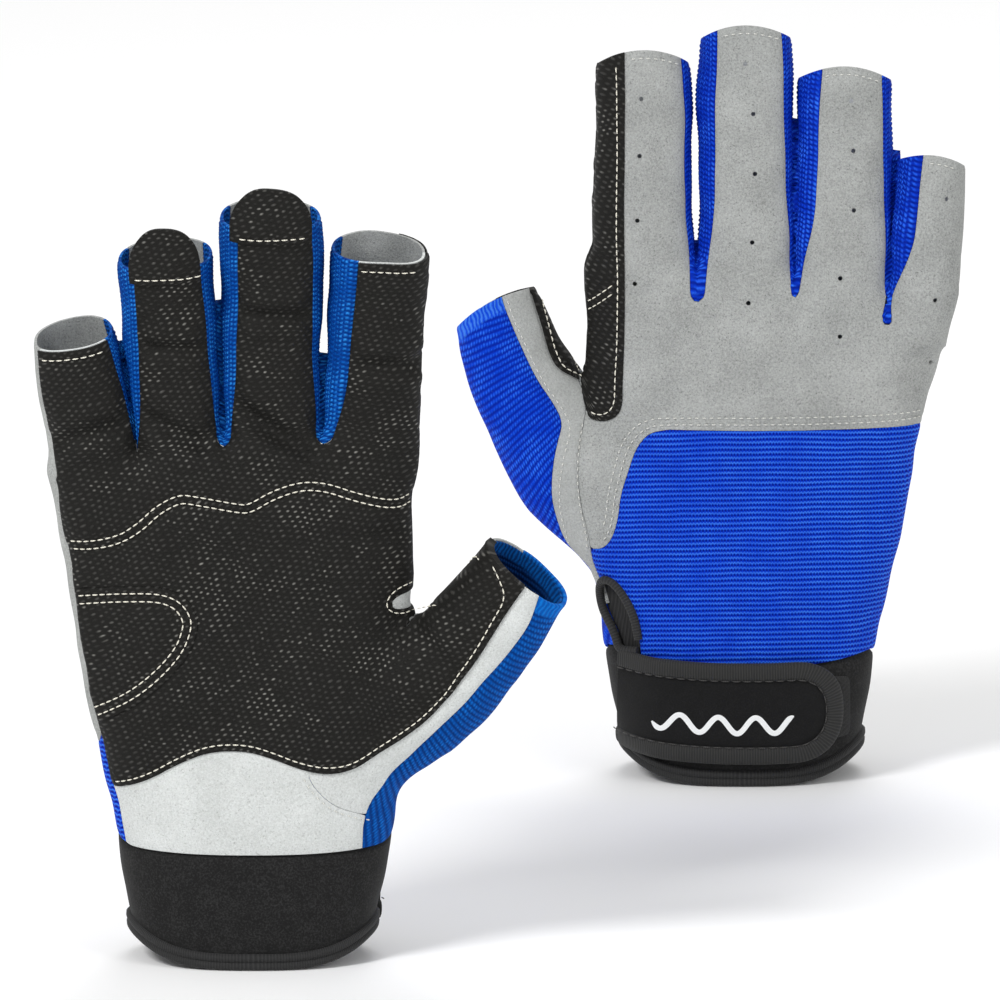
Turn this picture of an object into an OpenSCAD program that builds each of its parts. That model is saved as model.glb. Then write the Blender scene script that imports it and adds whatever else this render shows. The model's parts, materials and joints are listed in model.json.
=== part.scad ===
// Two cut-finger sailing gloves, standing on their cuffs as if they were worn.
// Each glove has its own frame: origin in the middle of the hem, +X towards the thumb,
// -Y towards the palm, +Z towards the fingertips. The second glove is turned by half a turn,
// so that one glove shows its palm to the front and the other shows its back.
// Every panel is a thin closed sheet. Panels of neighbouring layers keep a small gap.

/* [Pair] */
// Distance between the two gloves, side to side
pair_spacing = 137; // [125:1:200]
// Distance between the two gloves, front to back
pair_stagger = 236; // [190:2:300]

/* [Hand] */
// Width of the glove at the hem
hem_w = 67; // [62:1:72]
// Width of the glove at the top of the cuff
cuff_top_w = 77; // [73:1:81]
// Breadth of the glove across the knuckles
knuckle_w = 100.5; // [96:0.5:105]
// Depth of the cuff, palm to back
cuff_depth = 45; // [42:1:48]
// Depth of the hand at the base of the thumb
palm_depth = 36; // [34:1:38]
// Height where the hand ends and the fingers start
knuckle_z = 131; // [129:1:133]

/* [Cuff and strap] */
// Height of the cuff
cuff_h = 36; // [34:1:38]
// Height of the rolled binding along the hem
binding_h = 4.6; // [4:0.2:6]
// How far the hem rises at the two sides
hem_rise = 8; // [0:1:10]
// Height of the strap's lower edge
strap_low = 7; // [5:0.5:9]
// Height of the strap's upper edge
strap_high = 36.5; // [34:0.5:38]
// Width of the raised border round the strap
strap_border = 5.2; // [4:0.2:7]

/* [Fingers] */
// Height where the finger stalls start
finger_base_z = 139; // [138:0.5:141]
// Forward tilt of the fingertips
finger_tilt = 14; // [8:1:20]
// Depth of a finger stall, palm to back
finger_depth = 21.5; // [20:0.5:23]
// Length of the pull tab beyond the stall's edge
tab_reach = 8; // [6:0.5:10]

/* [Fabric] */
// Thickness of the outer leather and fabric layers
skin = 0.95; // [0.8:0.05:1.1]
// Thickness of the stretch cuff
neoprene = 2.4; // [2:0.1:2.8]
// Gap between neighbouring layers and panels
gap = 0.25; // [0.2:0.05:0.35]

/* [Hidden] */

grip_black = [0.15, 0.15, 0.15];
suede_grey = [0.80, 0.81, 0.80];
knit_blue = [0.02, 0.25, 0.75];
cuff_black = [0.10, 0.10, 0.10];

// Exponent of the rounded cross-section: 2 is an ellipse, more is squarer
fullness = 2.4;

// Side edges and half depth of the hand against height, thumb side at +X
thumb_edge = [
  [0, hem_w / 2], [14, hem_w / 2 + 0.5], [cuff_h, cuff_top_w / 2 + 0.8],
  [60, 0.42 * knuckle_w], [100, 0.437 * knuckle_w], [150, 0.437 * knuckle_w],
];
pinky_edge = [
  [0, -hem_w / 2], [14, -hem_w / 2 - 0.5], [cuff_h, 0.8 - cuff_top_w / 2],
  [60, -0.43 * knuckle_w], [100, -0.508 * knuckle_w], [150, -0.567 * knuckle_w],
];
half_depth = [
  [0, cuff_depth / 2], [cuff_h, cuff_depth / 2 - 0.5], [60, palm_depth / 2 + 2.5],
  [100, palm_depth / 2], [130, palm_depth / 2 - 2.5], [150, finger_depth / 2 + 1.5],
];

// Angles round the hand: 0 thumb side, 90 back, 180 little-finger side, 270 palm
seam_pinky = 186;
seam_thumb = 354;

// Angles round a finger: the front strip, the back strip, and the side walls between them
front_from = 222;
front_to = 318;
back_from = 37;
back_to = 143;

// Fingers of each glove: x at the base, x at the tip, height of the tip, width
pinky = 0;
ring = 1;
middle = 2;
index = 3;
finger_sets = [
  [[-44.2, -51.8, 178.5, 21.2], [-20.1, -24.9, 200.5, 23.4],
   [5.2, 4.5, 211.5, 24.6], [31.0, 35.6, 202.5, 23.4]],
  [[-48.0, -51.2, 176.5, 19.6], [-27.2, -27.8, 201.5, 23.6],
   [-0.8, 0, 213.0, 25.0], [27.6, 28.5, 206.0, 25.0]],
];
finger_count = 4;

// Thumb of each glove: base, curve control and tip points, tip angle, base and tip half width
thumb_sets = [
  [[43, -2, 76], [62, -3, 88], [76.7, -13, 110], -40, 25, 13.4],
  [[43, -2, 84], [64, -3, 104], [70.2, -11, 135], -30, 22, 11.8],
];
thumb_base_angle = -88;
thumb_base_depth = 11.5;
thumb_tip_depth = 10.5;

function lerp(a, b, t) = a + (b - a) * t;
function signed_pow(v, p) = sign(v) * pow(abs(v), p);
function unit(v) = v / norm(v);

// ---- Surfaces that the panels lie on ----

// Point on the hand at an angle and height, moved outwards by off
function hand_point(t, z, off) =
  let (
    low = lookup(z, pinky_edge),
    high = lookup(z, thumb_edge),
    p = 2 / fullness
  )
  [
    (low + high) / 2 + ((high - low) / 2 + off) * signed_pow(cos(t), p),
    (lookup(z, half_depth) + off) * signed_pow(sin(t), p),
    z,
  ];

// Nominal x of an angle round the hand, taken at mid height
function hand_x(t) = hand_point(t, 80, 0)[0];

// Height of the hem at an angle: level in front and behind, raised at the sides
function hem_z(t) = hem_rise * pow(abs(cos(t)), 3);

// Point on a finger stall: t round it, s along it from base (0) to edge (1)
function finger_point(f, t, s, off) =
  let (
    reach = f[2] - finger_base_z,
    drop = reach * tan(finger_tilt) / 2,
    centre = [lerp(f[0], f[1], s), -drop * s * s, lerp(finger_base_z, f[2], s)],
    along = unit([f[1] - f[0], -2 * drop * s, reach]),
    across = unit([1, 0, 0] - along[0] * along),
    back = cross(along, across),
    p = 2 / fullness
  )
  centre + across * (f[3] / 2 + off) * signed_pow(cos(t), p)
    + back * (finger_depth / 2 + off) * signed_pow(sin(t), p);

// Point on a thumb stall: t = 0 outer side, 90 back, 180 towards the index finger, 270 palm
function thumb_point(th, t, s, off) =
  let (
    centre = th[0] * (1 - s) * (1 - s) + th[1] * 2 * s * (1 - s) + th[2] * s * s,
    along = unit((th[1] - th[0]) * (1 - s) + (th[2] - th[1]) * s),
    turn = lerp(thumb_base_angle, th[3], pow(s, 0.8)),
    out = [cos(turn), 0, sin(turn)],
    back = unit(cross(along, out)),
    half_w = th[5] + (th[4] - th[5]) * (1 - s) * (1 - s),
    half_d = lerp(thumb_base_depth, thumb_tip_depth, s),
    p = 2 / fullness
  )
  centre + out * (half_w + off) * signed_pow(cos(t), p)
    + back * (half_d + off) * signed_pow(sin(t), p);

// How far the hand's panels draw back at the thumb's root, as an angle
window_low = 43;
window_high = 113;
window_angle = 40;
function thumb_window(z) = (z > window_low && z < window_high)
  ? window_angle * pow(sin(180 * (z - window_low) / (window_high - window_low)), 0.5)
  : 0;

// ---- Grids: a list of columns, each a list of points ----

// Hand panel between two seam angles (functions of height) and two edges (functions of x)
function hand_grid(from, to, low, high, off, nu, nv) =
  [for (i = [0:nu])
    let (u = i / nu, x = hand_x(lerp(from(120), to(120), u)))
    [for (j = [0:nv])
      let (z = lerp(low(x), high(x), j / nv))
      hand_point(lerp(from(z), to(z), u), z, off)]];

// Ring round the cuff between two heights above the hem
function cuff_grid(low, high, off, nu, nv) =
  [for (i = [0:nu - 1])
    let (t = 360 * i / nu)
    [for (j = [0:nv]) hand_point(t, lerp(low(t), high(t), j / nv), off)]];

// Strip on a finger between two angles, from s0 to the edge s1
function finger_grid(f, from, to, s0, s1, off, nu, nv) =
  [for (i = [0:nu])
    [for (j = [0:nv]) finger_point(f, lerp(from, to, i / nu), lerp(s0, s1, j / nv), off)]];

// Strip on a thumb between two angles
function thumb_grid(th, from, to, s0, s1, off, nu, nv) =
  [for (i = [0:nu])
    [for (j = [0:nv]) thumb_point(th, lerp(from, to, i / nu), lerp(s0, s1, j / nv), off)]];

// ---- Closed solids from pairs of grids ----

// Faces of one sheet whose outer grid starts at point number start
function sheet_faces(nu, nv, ring, start) =
  let (
    count = nu * nv,
    o = function (i, j) start + (i % nu) * nv + j,
    n = function (i, j) start + count + (i % nu) * nv + j,
    last = ring ? nu - 1 : nu - 2
  )
  concat(
    [for (i = [0:last], j = [0:nv - 2]) each [
      [o(i, j), o(i, j + 1), o(i + 1, j + 1)],
      [o(i, j), o(i + 1, j + 1), o(i + 1, j)],
      [n(i, j), n(i + 1, j + 1), n(i, j + 1)],
      [n(i, j), n(i + 1, j), n(i + 1, j + 1)],
    ]],
    [for (i = [0:last]) each [
      [o(i, 0), o(i + 1, 0), n(i + 1, 0)],
      [o(i, 0), n(i + 1, 0), n(i, 0)],
      [o(i + 1, nv - 1), o(i, nv - 1), n(i, nv - 1)],
      [o(i + 1, nv - 1), n(i, nv - 1), n(i + 1, nv - 1)],
    ]],
    ring ? [] : [for (j = [0:nv - 2]) each [
      [o(0, j + 1), o(0, j), n(0, j)],
      [o(0, j + 1), n(0, j), n(0, j + 1)],
      [o(nu - 1, j), o(nu - 1, j + 1), n(nu - 1, j + 1)],
      [o(nu - 1, j), n(nu - 1, j + 1), n(nu - 1, j)],
    ]]
  );

// Separate sheets in one solid group; each entry is [outer grid, inner grid], all of one size
module sheets(pairs, ring = false) {
  nu = len(pairs[0][0]);
  nv = len(pairs[0][0][0]);
  points = [for (pair = pairs, grid = pair, column = grid) each column];
  faces = [for (k = [0:len(pairs) - 1]) each sheet_faces(nu, nv, ring, k * 2 * nu * nv)];
  polyhedron(points, faces, convexity = 10);
}

// ---- Cuff ----

module cuff() {
  low = function (t) hem_z(t) + binding_h + gap;
  high = function (t) cuff_h;
  color(cuff_black)
    sheets([[cuff_grid(low, high, -0.2, 48, 3), cuff_grid(low, high, -0.2 - neoprene, 48, 3)]],
      ring = true);
}

module cuff_binding() {
  low = function (t) hem_z(t);
  high = function (t) hem_z(t) + binding_h;
  color(cuff_black)
    sheets([[cuff_grid(low, high, 0.8, 48, 2), cuff_grid(low, high, -neoprene - 1, 48, 2)]],
      ring = true);
}

// Soft loop tape on the back of the cuff, under the strap
module loop_patch() {
  from = function (z) 98;
  to = function (z) 146;
  low = function (x) 13;
  high = function (x) 31;
  color(cuff_black)
    sheets([[hand_grid(from, to, low, high, 0.7, 8, 2), hand_grid(from, to, low, high, 0, 8, 2)]]);
}

// ---- Wrist slit on the thumb side ----

slit_from = 14;
slit_to = 30;
slit_low = 37;
slit_high = 60;
slit_half = 7;
slit_border = 1.8;

module slit_gusset() {
  from = function (z) slit_from - 2;
  to = function (z) slit_to + 2;
  low = function (x) slit_low + 1;
  high = function (x) slit_high;
  color(cuff_black)
    sheets([[hand_grid(from, to, low, high, -skin - 2 * gap, 5, 4),
      hand_grid(from, to, low, high, -skin - 2 * gap - 0.7, 5, 4)]]);
}

// Bound edge of the slit: a teardrop ring, round at the bottom and pointed at the top
module slit_binding() {
  steps = 20;
  ring_point = function (phi, grow, off)
    let (
      t = (slit_from + slit_to) / 2 + (slit_half + grow / 0.6) * sin(phi) * (0.35 + 0.65 * abs(cos(phi / 2))),
      z = lerp(slit_low + 2, slit_high, (1 - cos(phi)) / 2) - grow * cos(phi)
    )
    hand_point(t, z, off);
  grid = function (off) [for (i = [0:steps - 1]) [for (grow = [slit_border, 0])
    ring_point(360 * i / steps, grow, off)]];
  color(cuff_black) sheets([[grid(skin + gap), grid(gap)]], ring = true);
}

// ---- Palm side ----

// Lower edge of the grip leather across the palm, against x
grip_low_edge = [
  [-50, 52], [-36, 52.5], [-28, 55.5], [-20, 60.5], [-12, 63.5], [-2, 64],
  [6, 62], [14, 59], [22, 57.5], [28, 59], [36, 63], [44, 68],
];

// Wavy upper edge, where the finger grips overlap it
grip_high_edge = [
  [-58, 117], [-45, 118], [-37, 121], [-31, 125], [-26, 130], [-20, 131], [50, 131],
];

module palm_base() {
  from = function (z) seam_pinky + 0.5;
  to = function (z) seam_thumb - 0.5 - thumb_window(z);
  low = function (x) cuff_h + gap;
  high = function (x) knuckle_z;
  outer = -skin - 3 * gap;
  color(suede_grey)
    sheets([[hand_grid(from, to, low, high, outer, 18, 10),
      hand_grid(from, to, low, high, outer - skin, 18, 10)]]);
}

module palm_grip() {
  from = function (z) seam_pinky + 2;
  to = function (z) seam_thumb - 1 - thumb_window(z);
  low = function (x) lookup(x, grip_low_edge);
  high = function (x) min(knuckle_z, lookup(x, grip_high_edge));
  color(grip_black)
    sheets([[hand_grid(from, to, low, high, 0, 18, 9),
      hand_grid(from, to, low, high, -skin, 18, 9)]]);
}

// Doubled grip leather on the heel of the hand, D-shaped
module heel_patch() {
  from = function (z) seam_pinky + 4;
  to = function (z) 246;
  low = function (x) lookup(x, [[-50, 69], [-40, 72], [-32, 76.5], [-24, 84], [-19, 90], [-16, 95]]);
  high = function (x) lookup(x, [[-50, 104], [-24, 105.5], [-19, 103], [-16, 98]]);
  color(grip_black)
    sheets([[hand_grid(from, to, low, high, gap + skin, 12, 6),
      hand_grid(from, to, low, high, gap, 12, 6)]]);
}

// ---- Back ----

// Border between the grey back and the stretch panel, against x
back_border = [
  [-51, 62], [-49.5, 62], [-48, 100], [-40, 101.5], [20, 101.5], [26, 100],
  [30, 96], [34, 80], [36, 69], [44, 66],
];

module back_panel() {
  from = function (z) seam_thumb - 360 + 0.5 + thumb_window(z);
  to = function (z) seam_pinky - 0.5;
  low = function (x) lookup(x, back_border) + gap;
  high = function (x) knuckle_z;
  color(suede_grey)
    sheets([[hand_grid(from, to, low, high, 0, 22, 8), hand_grid(from, to, low, high, -skin, 22, 8)]]);
}

module back_stretch() {
  from = function (z) seam_thumb - 360 + 0.5 + thumb_window(z);
  to = function (z) seam_pinky - 0.5;
  low = function (x) cuff_h + gap;
  high = function (x) lookup(x, back_border) - gap;
  color(knit_blue)
    sheets([[hand_grid(from, to, low, high, 0, 22, 8), hand_grid(from, to, low, high, -skin, 22, 8)]]);
}

// Lower end of the grip leather that runs down the index finger's outer side
module side_patch() {
  from = function (z) seam_thumb - 360 + 1;
  to = function (z) 30;
  low = function (x) lookup(x, [[30, 116], [36, 114], [44, 114]]);
  high = function (x) knuckle_z;
  color(grip_black)
    sheets([[hand_grid(from, to, low, high, gap + skin, 6, 4), hand_grid(from, to, low, high, gap, 6, 4)]]);
}

// ---- Thumb ----

thumb_root = 0.07;

module thumb_sheet(g, from, to, s1, outer, tint) {
  th = thumb_sets[g - 1];
  color(tint)
    sheets([[thumb_grid(th, from, to, thumb_root, s1, outer, 12, 8),
      thumb_grid(th, from, to, thumb_root, s1, outer - skin, 12, 8)]]);
}

module thumb_base(g) {
  thumb_sheet(g, 102, 323, 0.99, -skin - gap, suede_grey);
}

module thumb_grip(g) {
  thumb_sheet(g, 142, 298, 1, 0, grip_black);
}

module thumb_back(g) {
  thumb_sheet(g, -35, 100, 1, 0, knit_blue);
}

// ---- Fingers ----

// A strip on each finger, in the order little, ring, middle, index
module finger_strips(g, from, to, outer, s1, tint) {
  set = finger_sets[g - 1];
  color(tint)
    sheets([for (k = [0:finger_count - 1]) [
      finger_grid(set[k], from[k], to[k], 0, s1, outer, 8, 5),
      finger_grid(set[k], from[k], to[k], 0, s1, outer - skin, 8, 5),
    ]]);
}

function same(v) = [for (k = [0:finger_count - 1]) v];

module finger_fronts(g) {
  finger_strips(g, same(front_from + 1), same(front_to - 1), -skin - gap, 0.99, suede_grey);
}

module finger_grips(g) {
  finger_strips(g, same(front_from + 1), same(front_to - 1), 0, 1, grip_black);
}

module finger_backs(g) {
  from = [back_from, back_from, back_from, front_to - 360 + 1];
  to = [front_from - 1, back_to, back_to, back_to];
  finger_strips(g, from, to, 0, 1, suede_grey);
}

// Side wall of two neighbouring fingers, joined by the web at the crotch
module finger_gusset(g, a, b) {
  fa = finger_sets[g - 1][a];
  fb = finger_sets[g - 1][b];
  nv = 4;
  web_s = 0.09;
  web_z = finger_base_z + 2.6;
  rise = 8;
  column_a = function (s, off) [for (j = [0:nv])
    finger_point(fa, lerp(front_to - 360 + 1, back_from - 1, j / nv), s, off)];
  column_b = function (s, off) [for (j = [0:nv])
    finger_point(fb, lerp(front_from - 1, back_to + 1, j / nv), s, off)];
  web = function (off)
    let (p = column_a(web_s, off), q = column_b(web_s, off))
    [for (j = [0:nv]) let (m = (p[j] + q[j]) / 2) [m[0], m[1], web_z + off]];
  grid = function (off) concat(
    [for (i = [0:rise]) column_a(lerp(1, web_s, i / rise), off)],
    [web(off)],
    [for (i = [0:rise]) column_b(lerp(web_s, 1, i / rise), off)]
  );
  color(knit_blue) sheets([[grid(0), grid(-skin)]]);
}

// Grip leather on the outer side of the index finger
module index_patch(g) {
  f = finger_sets[g - 1][index];
  color(grip_black)
    sheets([[finger_grid(f, front_to - 358, 64, 0, 0.985, gap + skin, 8, 6),
      finger_grid(f, front_to - 358, 64, 0, 0.985, gap, 8, 6)]]);
}

// Rounded tab on a fingertip, for pulling the glove off
module pull_tab(g, k) {
  f = finger_sets[g - 1][k];
  reach = f[2] - finger_base_z;
  start = 1 - 7 / reach;
  grid = function (off) [for (i = [0:10])
    let (u = i / 10, top = 1 + (tab_reach * sqrt(1 - pow(2 * u - 1, 2) * 0.96) - 1) / reach)
    [for (j = [0:4]) finger_point(f, lerp(232, 308, u), lerp(start, top, j / 4), off)]];
  color(grip_black) sheets([[grid(gap + skin), grid(gap)]]);
}

// ---- Strap ----

strap_from = 24;
strap_to = 126;
strap_lift = 1.8;
strap_t = 1.7;

// Outline of the strap: along the top, round the free end and back along the bottom
function strap_outline(inset, n) =
  let (
    mid = (strap_low + strap_high) / 2,
    half = (strap_high - strap_low) / 2 - inset,
    end_angle = 16 - inset,
    centre = strap_to - 16 - inset * 0.66
  )
  concat(
    [for (i = [0:n - 1]) [lerp(strap_from, centre, i / n), mid + half]],
    [for (phi = [90:-15:-90])
      [centre + end_angle * signed_pow(cos(phi), 0.6), mid + half * signed_pow(sin(phi), 0.6)]],
    [for (i = [n - 1:-1:0]) [lerp(strap_from, centre, i / n), mid - half]]
  );

module strap() {
  inset = strap_border + gap;
  mid = (strap_low + strap_high) / 2;
  outline = strap_outline(inset, 10);
  half_count = floor(len(outline) / 2);
  column = function (i, off)
    let (t = outline[i][0], reach = outline[i][1] - mid)
    [for (k = [-1:1:1]) hand_point(t, mid + k * max(reach, 0.6), off)];
  grid = function (off) [for (i = [0:half_count]) column(i, off)];
  color(cuff_black) sheets([[grid(strap_lift + strap_t), grid(strap_lift)]]);
}

module strap_binding() {
  outer = strap_outline(0, 10);
  inner = strap_outline(strap_border, 10);
  grid = function (off) [for (i = [0:len(outer) - 1])
    [hand_point(inner[i][0], inner[i][1], off), hand_point(outer[i][0], outer[i][1], off)]];
  color(cuff_black) sheets([[grid(strap_lift + strap_t + 0.5), grid(strap_lift - 0.2)]]);
}

// Hook tape under the strap's free end
module hook_patch() {
  from = function (z) 96;
  to = function (z) 116;
  low = function (x) 15;
  high = function (x) 29;
  color(cuff_black)
    sheets([[hand_grid(from, to, low, high, 1.5, 4, 2), hand_grid(from, to, low, high, 0.95, 4, 2)]]);
}

// ---- Placing the gloves ----

module place(g) {
  side = g == 1 ? -1 : 1;
  translate([side * pair_spacing / 2, side * pair_stagger / 2, 0])
    rotate([0, 0, g == 1 ? 0 : 180])
      children();
}

place(1) cuff();  // glove_1_cuff
place(1) cuff_binding();  // glove_1_cuff_binding
place(1) loop_patch();  // glove_1_loop_patch
place(1) slit_gusset();  // glove_1_slit_gusset
place(1) slit_binding();  // glove_1_slit_binding
place(1) palm_base();  // glove_1_palm_base
place(1) palm_grip();  // glove_1_palm_grip
place(1) heel_patch();  // glove_1_heel_patch
place(1) back_panel();  // glove_1_back_panel
place(1) back_stretch();  // glove_1_back_stretch
place(1) side_patch();  // glove_1_side_patch
place(1) thumb_base(1);  // glove_1_thumb_base
place(1) thumb_grip(1);  // glove_1_thumb_grip
place(1) thumb_back(1);  // glove_1_thumb_back
place(1) finger_fronts(1);  // glove_1_finger_fronts
place(1) finger_grips(1);  // glove_1_finger_grips
place(1) finger_backs(1);  // glove_1_finger_backs
place(1) finger_gusset(1, middle, index);  // glove_1_gusset_index_middle
place(1) finger_gusset(1, ring, middle);  // glove_1_gusset_middle_ring
place(1) finger_gusset(1, pinky, ring);  // glove_1_gusset_ring_pinky
place(1) index_patch(1);  // glove_1_index_patch
place(1) pull_tab(1, middle);  // glove_1_middle_pull_tab
place(1) pull_tab(1, ring);  // glove_1_ring_pull_tab
place(1) strap();  // glove_1_strap
place(1) strap_binding();  // glove_1_strap_binding
place(1) hook_patch();  // glove_1_hook_patch
place(2) cuff();  // glove_2_cuff
place(2) cuff_binding();  // glove_2_cuff_binding
place(2) loop_patch();  // glove_2_loop_patch
place(2) slit_gusset();  // glove_2_slit_gusset
place(2) slit_binding();  // glove_2_slit_binding
place(2) palm_base();  // glove_2_palm_base
place(2) palm_grip();  // glove_2_palm_grip
place(2) heel_patch();  // glove_2_heel_patch
place(2) back_panel();  // glove_2_back_panel
place(2) back_stretch();  // glove_2_back_stretch
place(2) side_patch();  // glove_2_side_patch
place(2) thumb_base(2);  // glove_2_thumb_base
place(2) thumb_grip(2);  // glove_2_thumb_grip
place(2) thumb_back(2);  // glove_2_thumb_back
place(2) finger_fronts(2);  // glove_2_finger_fronts
place(2) finger_grips(2);  // glove_2_finger_grips
place(2) finger_backs(2);  // glove_2_finger_backs
place(2) finger_gusset(2, middle, index);  // glove_2_gusset_index_middle
place(2) finger_gusset(2, ring, middle);  // glove_2_gusset_middle_ring
place(2) finger_gusset(2, pinky, ring);  // glove_2_gusset_ring_pinky
place(2) index_patch(2);  // glove_2_index_patch
place(2) pull_tab(2, middle);  // glove_2_middle_pull_tab
place(2) pull_tab(2, ring);  // glove_2_ring_pull_tab
place(2) strap();  // glove_2_strap
place(2) strap_binding();  // glove_2_strap_binding
place(2) hook_patch();  // glove_2_hook_patch
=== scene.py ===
"""Two cut-finger sailing gloves: the looks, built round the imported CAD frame.

Each glove's skin is one smooth surface, the zero level of a distance field made of a hand,
four finger stalls and a thumb. A fine mesh of it is cut along seam lines into panels, and
each panel becomes a closed sheet with its own thickness, seams, creases and ribs.
Glove coordinates are millimetres: +x thumb side, -y palm, +z fingertips, origin in the hem.
"""
import json
import math

import bpy
import numpy as np
from mathutils import Vector, kdtree
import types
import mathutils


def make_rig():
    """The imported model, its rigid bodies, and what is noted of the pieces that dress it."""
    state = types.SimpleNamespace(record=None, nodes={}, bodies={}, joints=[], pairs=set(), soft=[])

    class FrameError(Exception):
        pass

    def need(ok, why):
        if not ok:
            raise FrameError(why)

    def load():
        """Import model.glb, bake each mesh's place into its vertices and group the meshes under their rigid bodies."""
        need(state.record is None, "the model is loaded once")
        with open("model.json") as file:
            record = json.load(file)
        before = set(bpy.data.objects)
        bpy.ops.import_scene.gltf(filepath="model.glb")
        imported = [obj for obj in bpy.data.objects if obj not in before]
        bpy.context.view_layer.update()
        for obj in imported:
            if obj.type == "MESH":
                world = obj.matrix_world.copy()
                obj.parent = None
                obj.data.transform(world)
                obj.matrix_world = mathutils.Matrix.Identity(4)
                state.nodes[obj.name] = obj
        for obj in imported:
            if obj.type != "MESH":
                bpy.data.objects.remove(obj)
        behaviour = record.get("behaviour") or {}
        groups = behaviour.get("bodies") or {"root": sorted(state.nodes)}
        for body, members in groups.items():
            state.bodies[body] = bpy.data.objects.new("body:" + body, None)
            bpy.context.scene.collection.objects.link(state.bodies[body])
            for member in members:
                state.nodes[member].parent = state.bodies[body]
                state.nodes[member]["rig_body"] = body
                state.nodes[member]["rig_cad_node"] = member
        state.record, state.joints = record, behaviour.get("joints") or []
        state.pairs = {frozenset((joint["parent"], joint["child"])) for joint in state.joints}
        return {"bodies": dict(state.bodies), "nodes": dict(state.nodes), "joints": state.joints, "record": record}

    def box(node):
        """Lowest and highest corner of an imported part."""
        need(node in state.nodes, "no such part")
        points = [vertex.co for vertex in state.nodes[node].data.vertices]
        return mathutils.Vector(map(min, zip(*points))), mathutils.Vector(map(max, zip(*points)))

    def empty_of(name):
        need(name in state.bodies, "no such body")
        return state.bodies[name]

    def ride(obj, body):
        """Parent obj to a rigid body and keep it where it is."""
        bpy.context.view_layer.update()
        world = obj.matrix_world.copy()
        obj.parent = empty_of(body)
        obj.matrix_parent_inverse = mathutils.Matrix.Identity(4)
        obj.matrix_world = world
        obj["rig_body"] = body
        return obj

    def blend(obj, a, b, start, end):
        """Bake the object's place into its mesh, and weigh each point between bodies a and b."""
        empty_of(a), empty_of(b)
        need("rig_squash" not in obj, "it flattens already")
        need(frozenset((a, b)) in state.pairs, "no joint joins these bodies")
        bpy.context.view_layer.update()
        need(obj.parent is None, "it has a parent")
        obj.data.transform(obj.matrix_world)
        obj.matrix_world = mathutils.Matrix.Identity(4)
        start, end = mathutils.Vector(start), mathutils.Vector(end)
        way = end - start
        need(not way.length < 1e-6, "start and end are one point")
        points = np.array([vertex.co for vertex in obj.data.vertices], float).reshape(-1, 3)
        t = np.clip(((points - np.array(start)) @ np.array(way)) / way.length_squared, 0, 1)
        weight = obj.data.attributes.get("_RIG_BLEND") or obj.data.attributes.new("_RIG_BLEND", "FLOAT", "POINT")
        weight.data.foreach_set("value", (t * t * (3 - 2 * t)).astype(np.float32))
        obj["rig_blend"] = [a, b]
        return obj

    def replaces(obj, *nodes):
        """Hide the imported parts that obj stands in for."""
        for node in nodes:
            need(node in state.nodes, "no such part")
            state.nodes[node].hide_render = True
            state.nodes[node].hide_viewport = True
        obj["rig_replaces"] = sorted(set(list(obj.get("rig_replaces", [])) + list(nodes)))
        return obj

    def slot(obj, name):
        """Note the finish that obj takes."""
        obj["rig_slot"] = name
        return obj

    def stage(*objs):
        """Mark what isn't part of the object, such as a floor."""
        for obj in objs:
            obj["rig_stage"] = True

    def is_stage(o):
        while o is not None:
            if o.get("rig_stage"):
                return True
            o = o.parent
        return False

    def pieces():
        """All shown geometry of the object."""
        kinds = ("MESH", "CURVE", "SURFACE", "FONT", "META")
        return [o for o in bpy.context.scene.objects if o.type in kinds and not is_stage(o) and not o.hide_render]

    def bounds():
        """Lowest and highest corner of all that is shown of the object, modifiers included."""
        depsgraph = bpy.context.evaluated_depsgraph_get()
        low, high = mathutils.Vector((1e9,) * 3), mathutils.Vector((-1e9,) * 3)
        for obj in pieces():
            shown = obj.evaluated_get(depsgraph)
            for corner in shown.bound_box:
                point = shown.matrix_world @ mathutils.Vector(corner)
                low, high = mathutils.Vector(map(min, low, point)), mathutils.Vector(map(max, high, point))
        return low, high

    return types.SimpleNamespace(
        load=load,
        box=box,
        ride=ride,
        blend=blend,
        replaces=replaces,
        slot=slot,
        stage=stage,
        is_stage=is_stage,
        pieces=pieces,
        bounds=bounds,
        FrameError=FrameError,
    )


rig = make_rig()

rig.load()
cad_lo, cad_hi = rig.bounds()

MM = 0.001

# ---------------------------------------------------------------- shape of the gloves (mm)

THUMB_EDGE = [(0, 33.5), (14, 34), (36, 39.2), (60, 42.2), (100, 43.9), (150, 43.9)]
PINKY_EDGE = [(0, -33.5), (14, -34), (36, -37.7), (60, -43), (100, -50.5), (118, -53.5), (139, -56.4),
              (150, -57.5)]
HALF_DEPTH = [(0, 22.5), (36, 22), (60, 20.5), (100, 17.5), (130, 15), (144, 12.4), (150, 12)]
CROTCH_FRONT = [(-57, 135), (-31, 139.4), (-8, 146), (18, 146.5), (44, 146)]
CROTCH_BACK = [(-57, 127.5), (-43, 130.3), (-16, 139.3), (11, 138), (44, 139)]
PINKY, RING, MIDDLE, INDEX = range(4)
FINGER_BASE = 139.0
FINGER_DEPTH = 10.75
FINGER_TILT = math.tan(math.radians(14)) / 2
# height where the hand's panels end and the fingers' begin
FINGERS_FROM = 125
# how square a cross-section is: 2 gives an ellipse
FULLNESS, FINGER_FULLNESS, THUMB_FULLNESS = 2.4, 2.3, 2.2
# size of the skin's mesh, half the gap between neighbouring panels, and the ribs of the knit
GRID, GAP, KNIT_PITCH = 1.35, 0.06, 1.35


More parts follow.
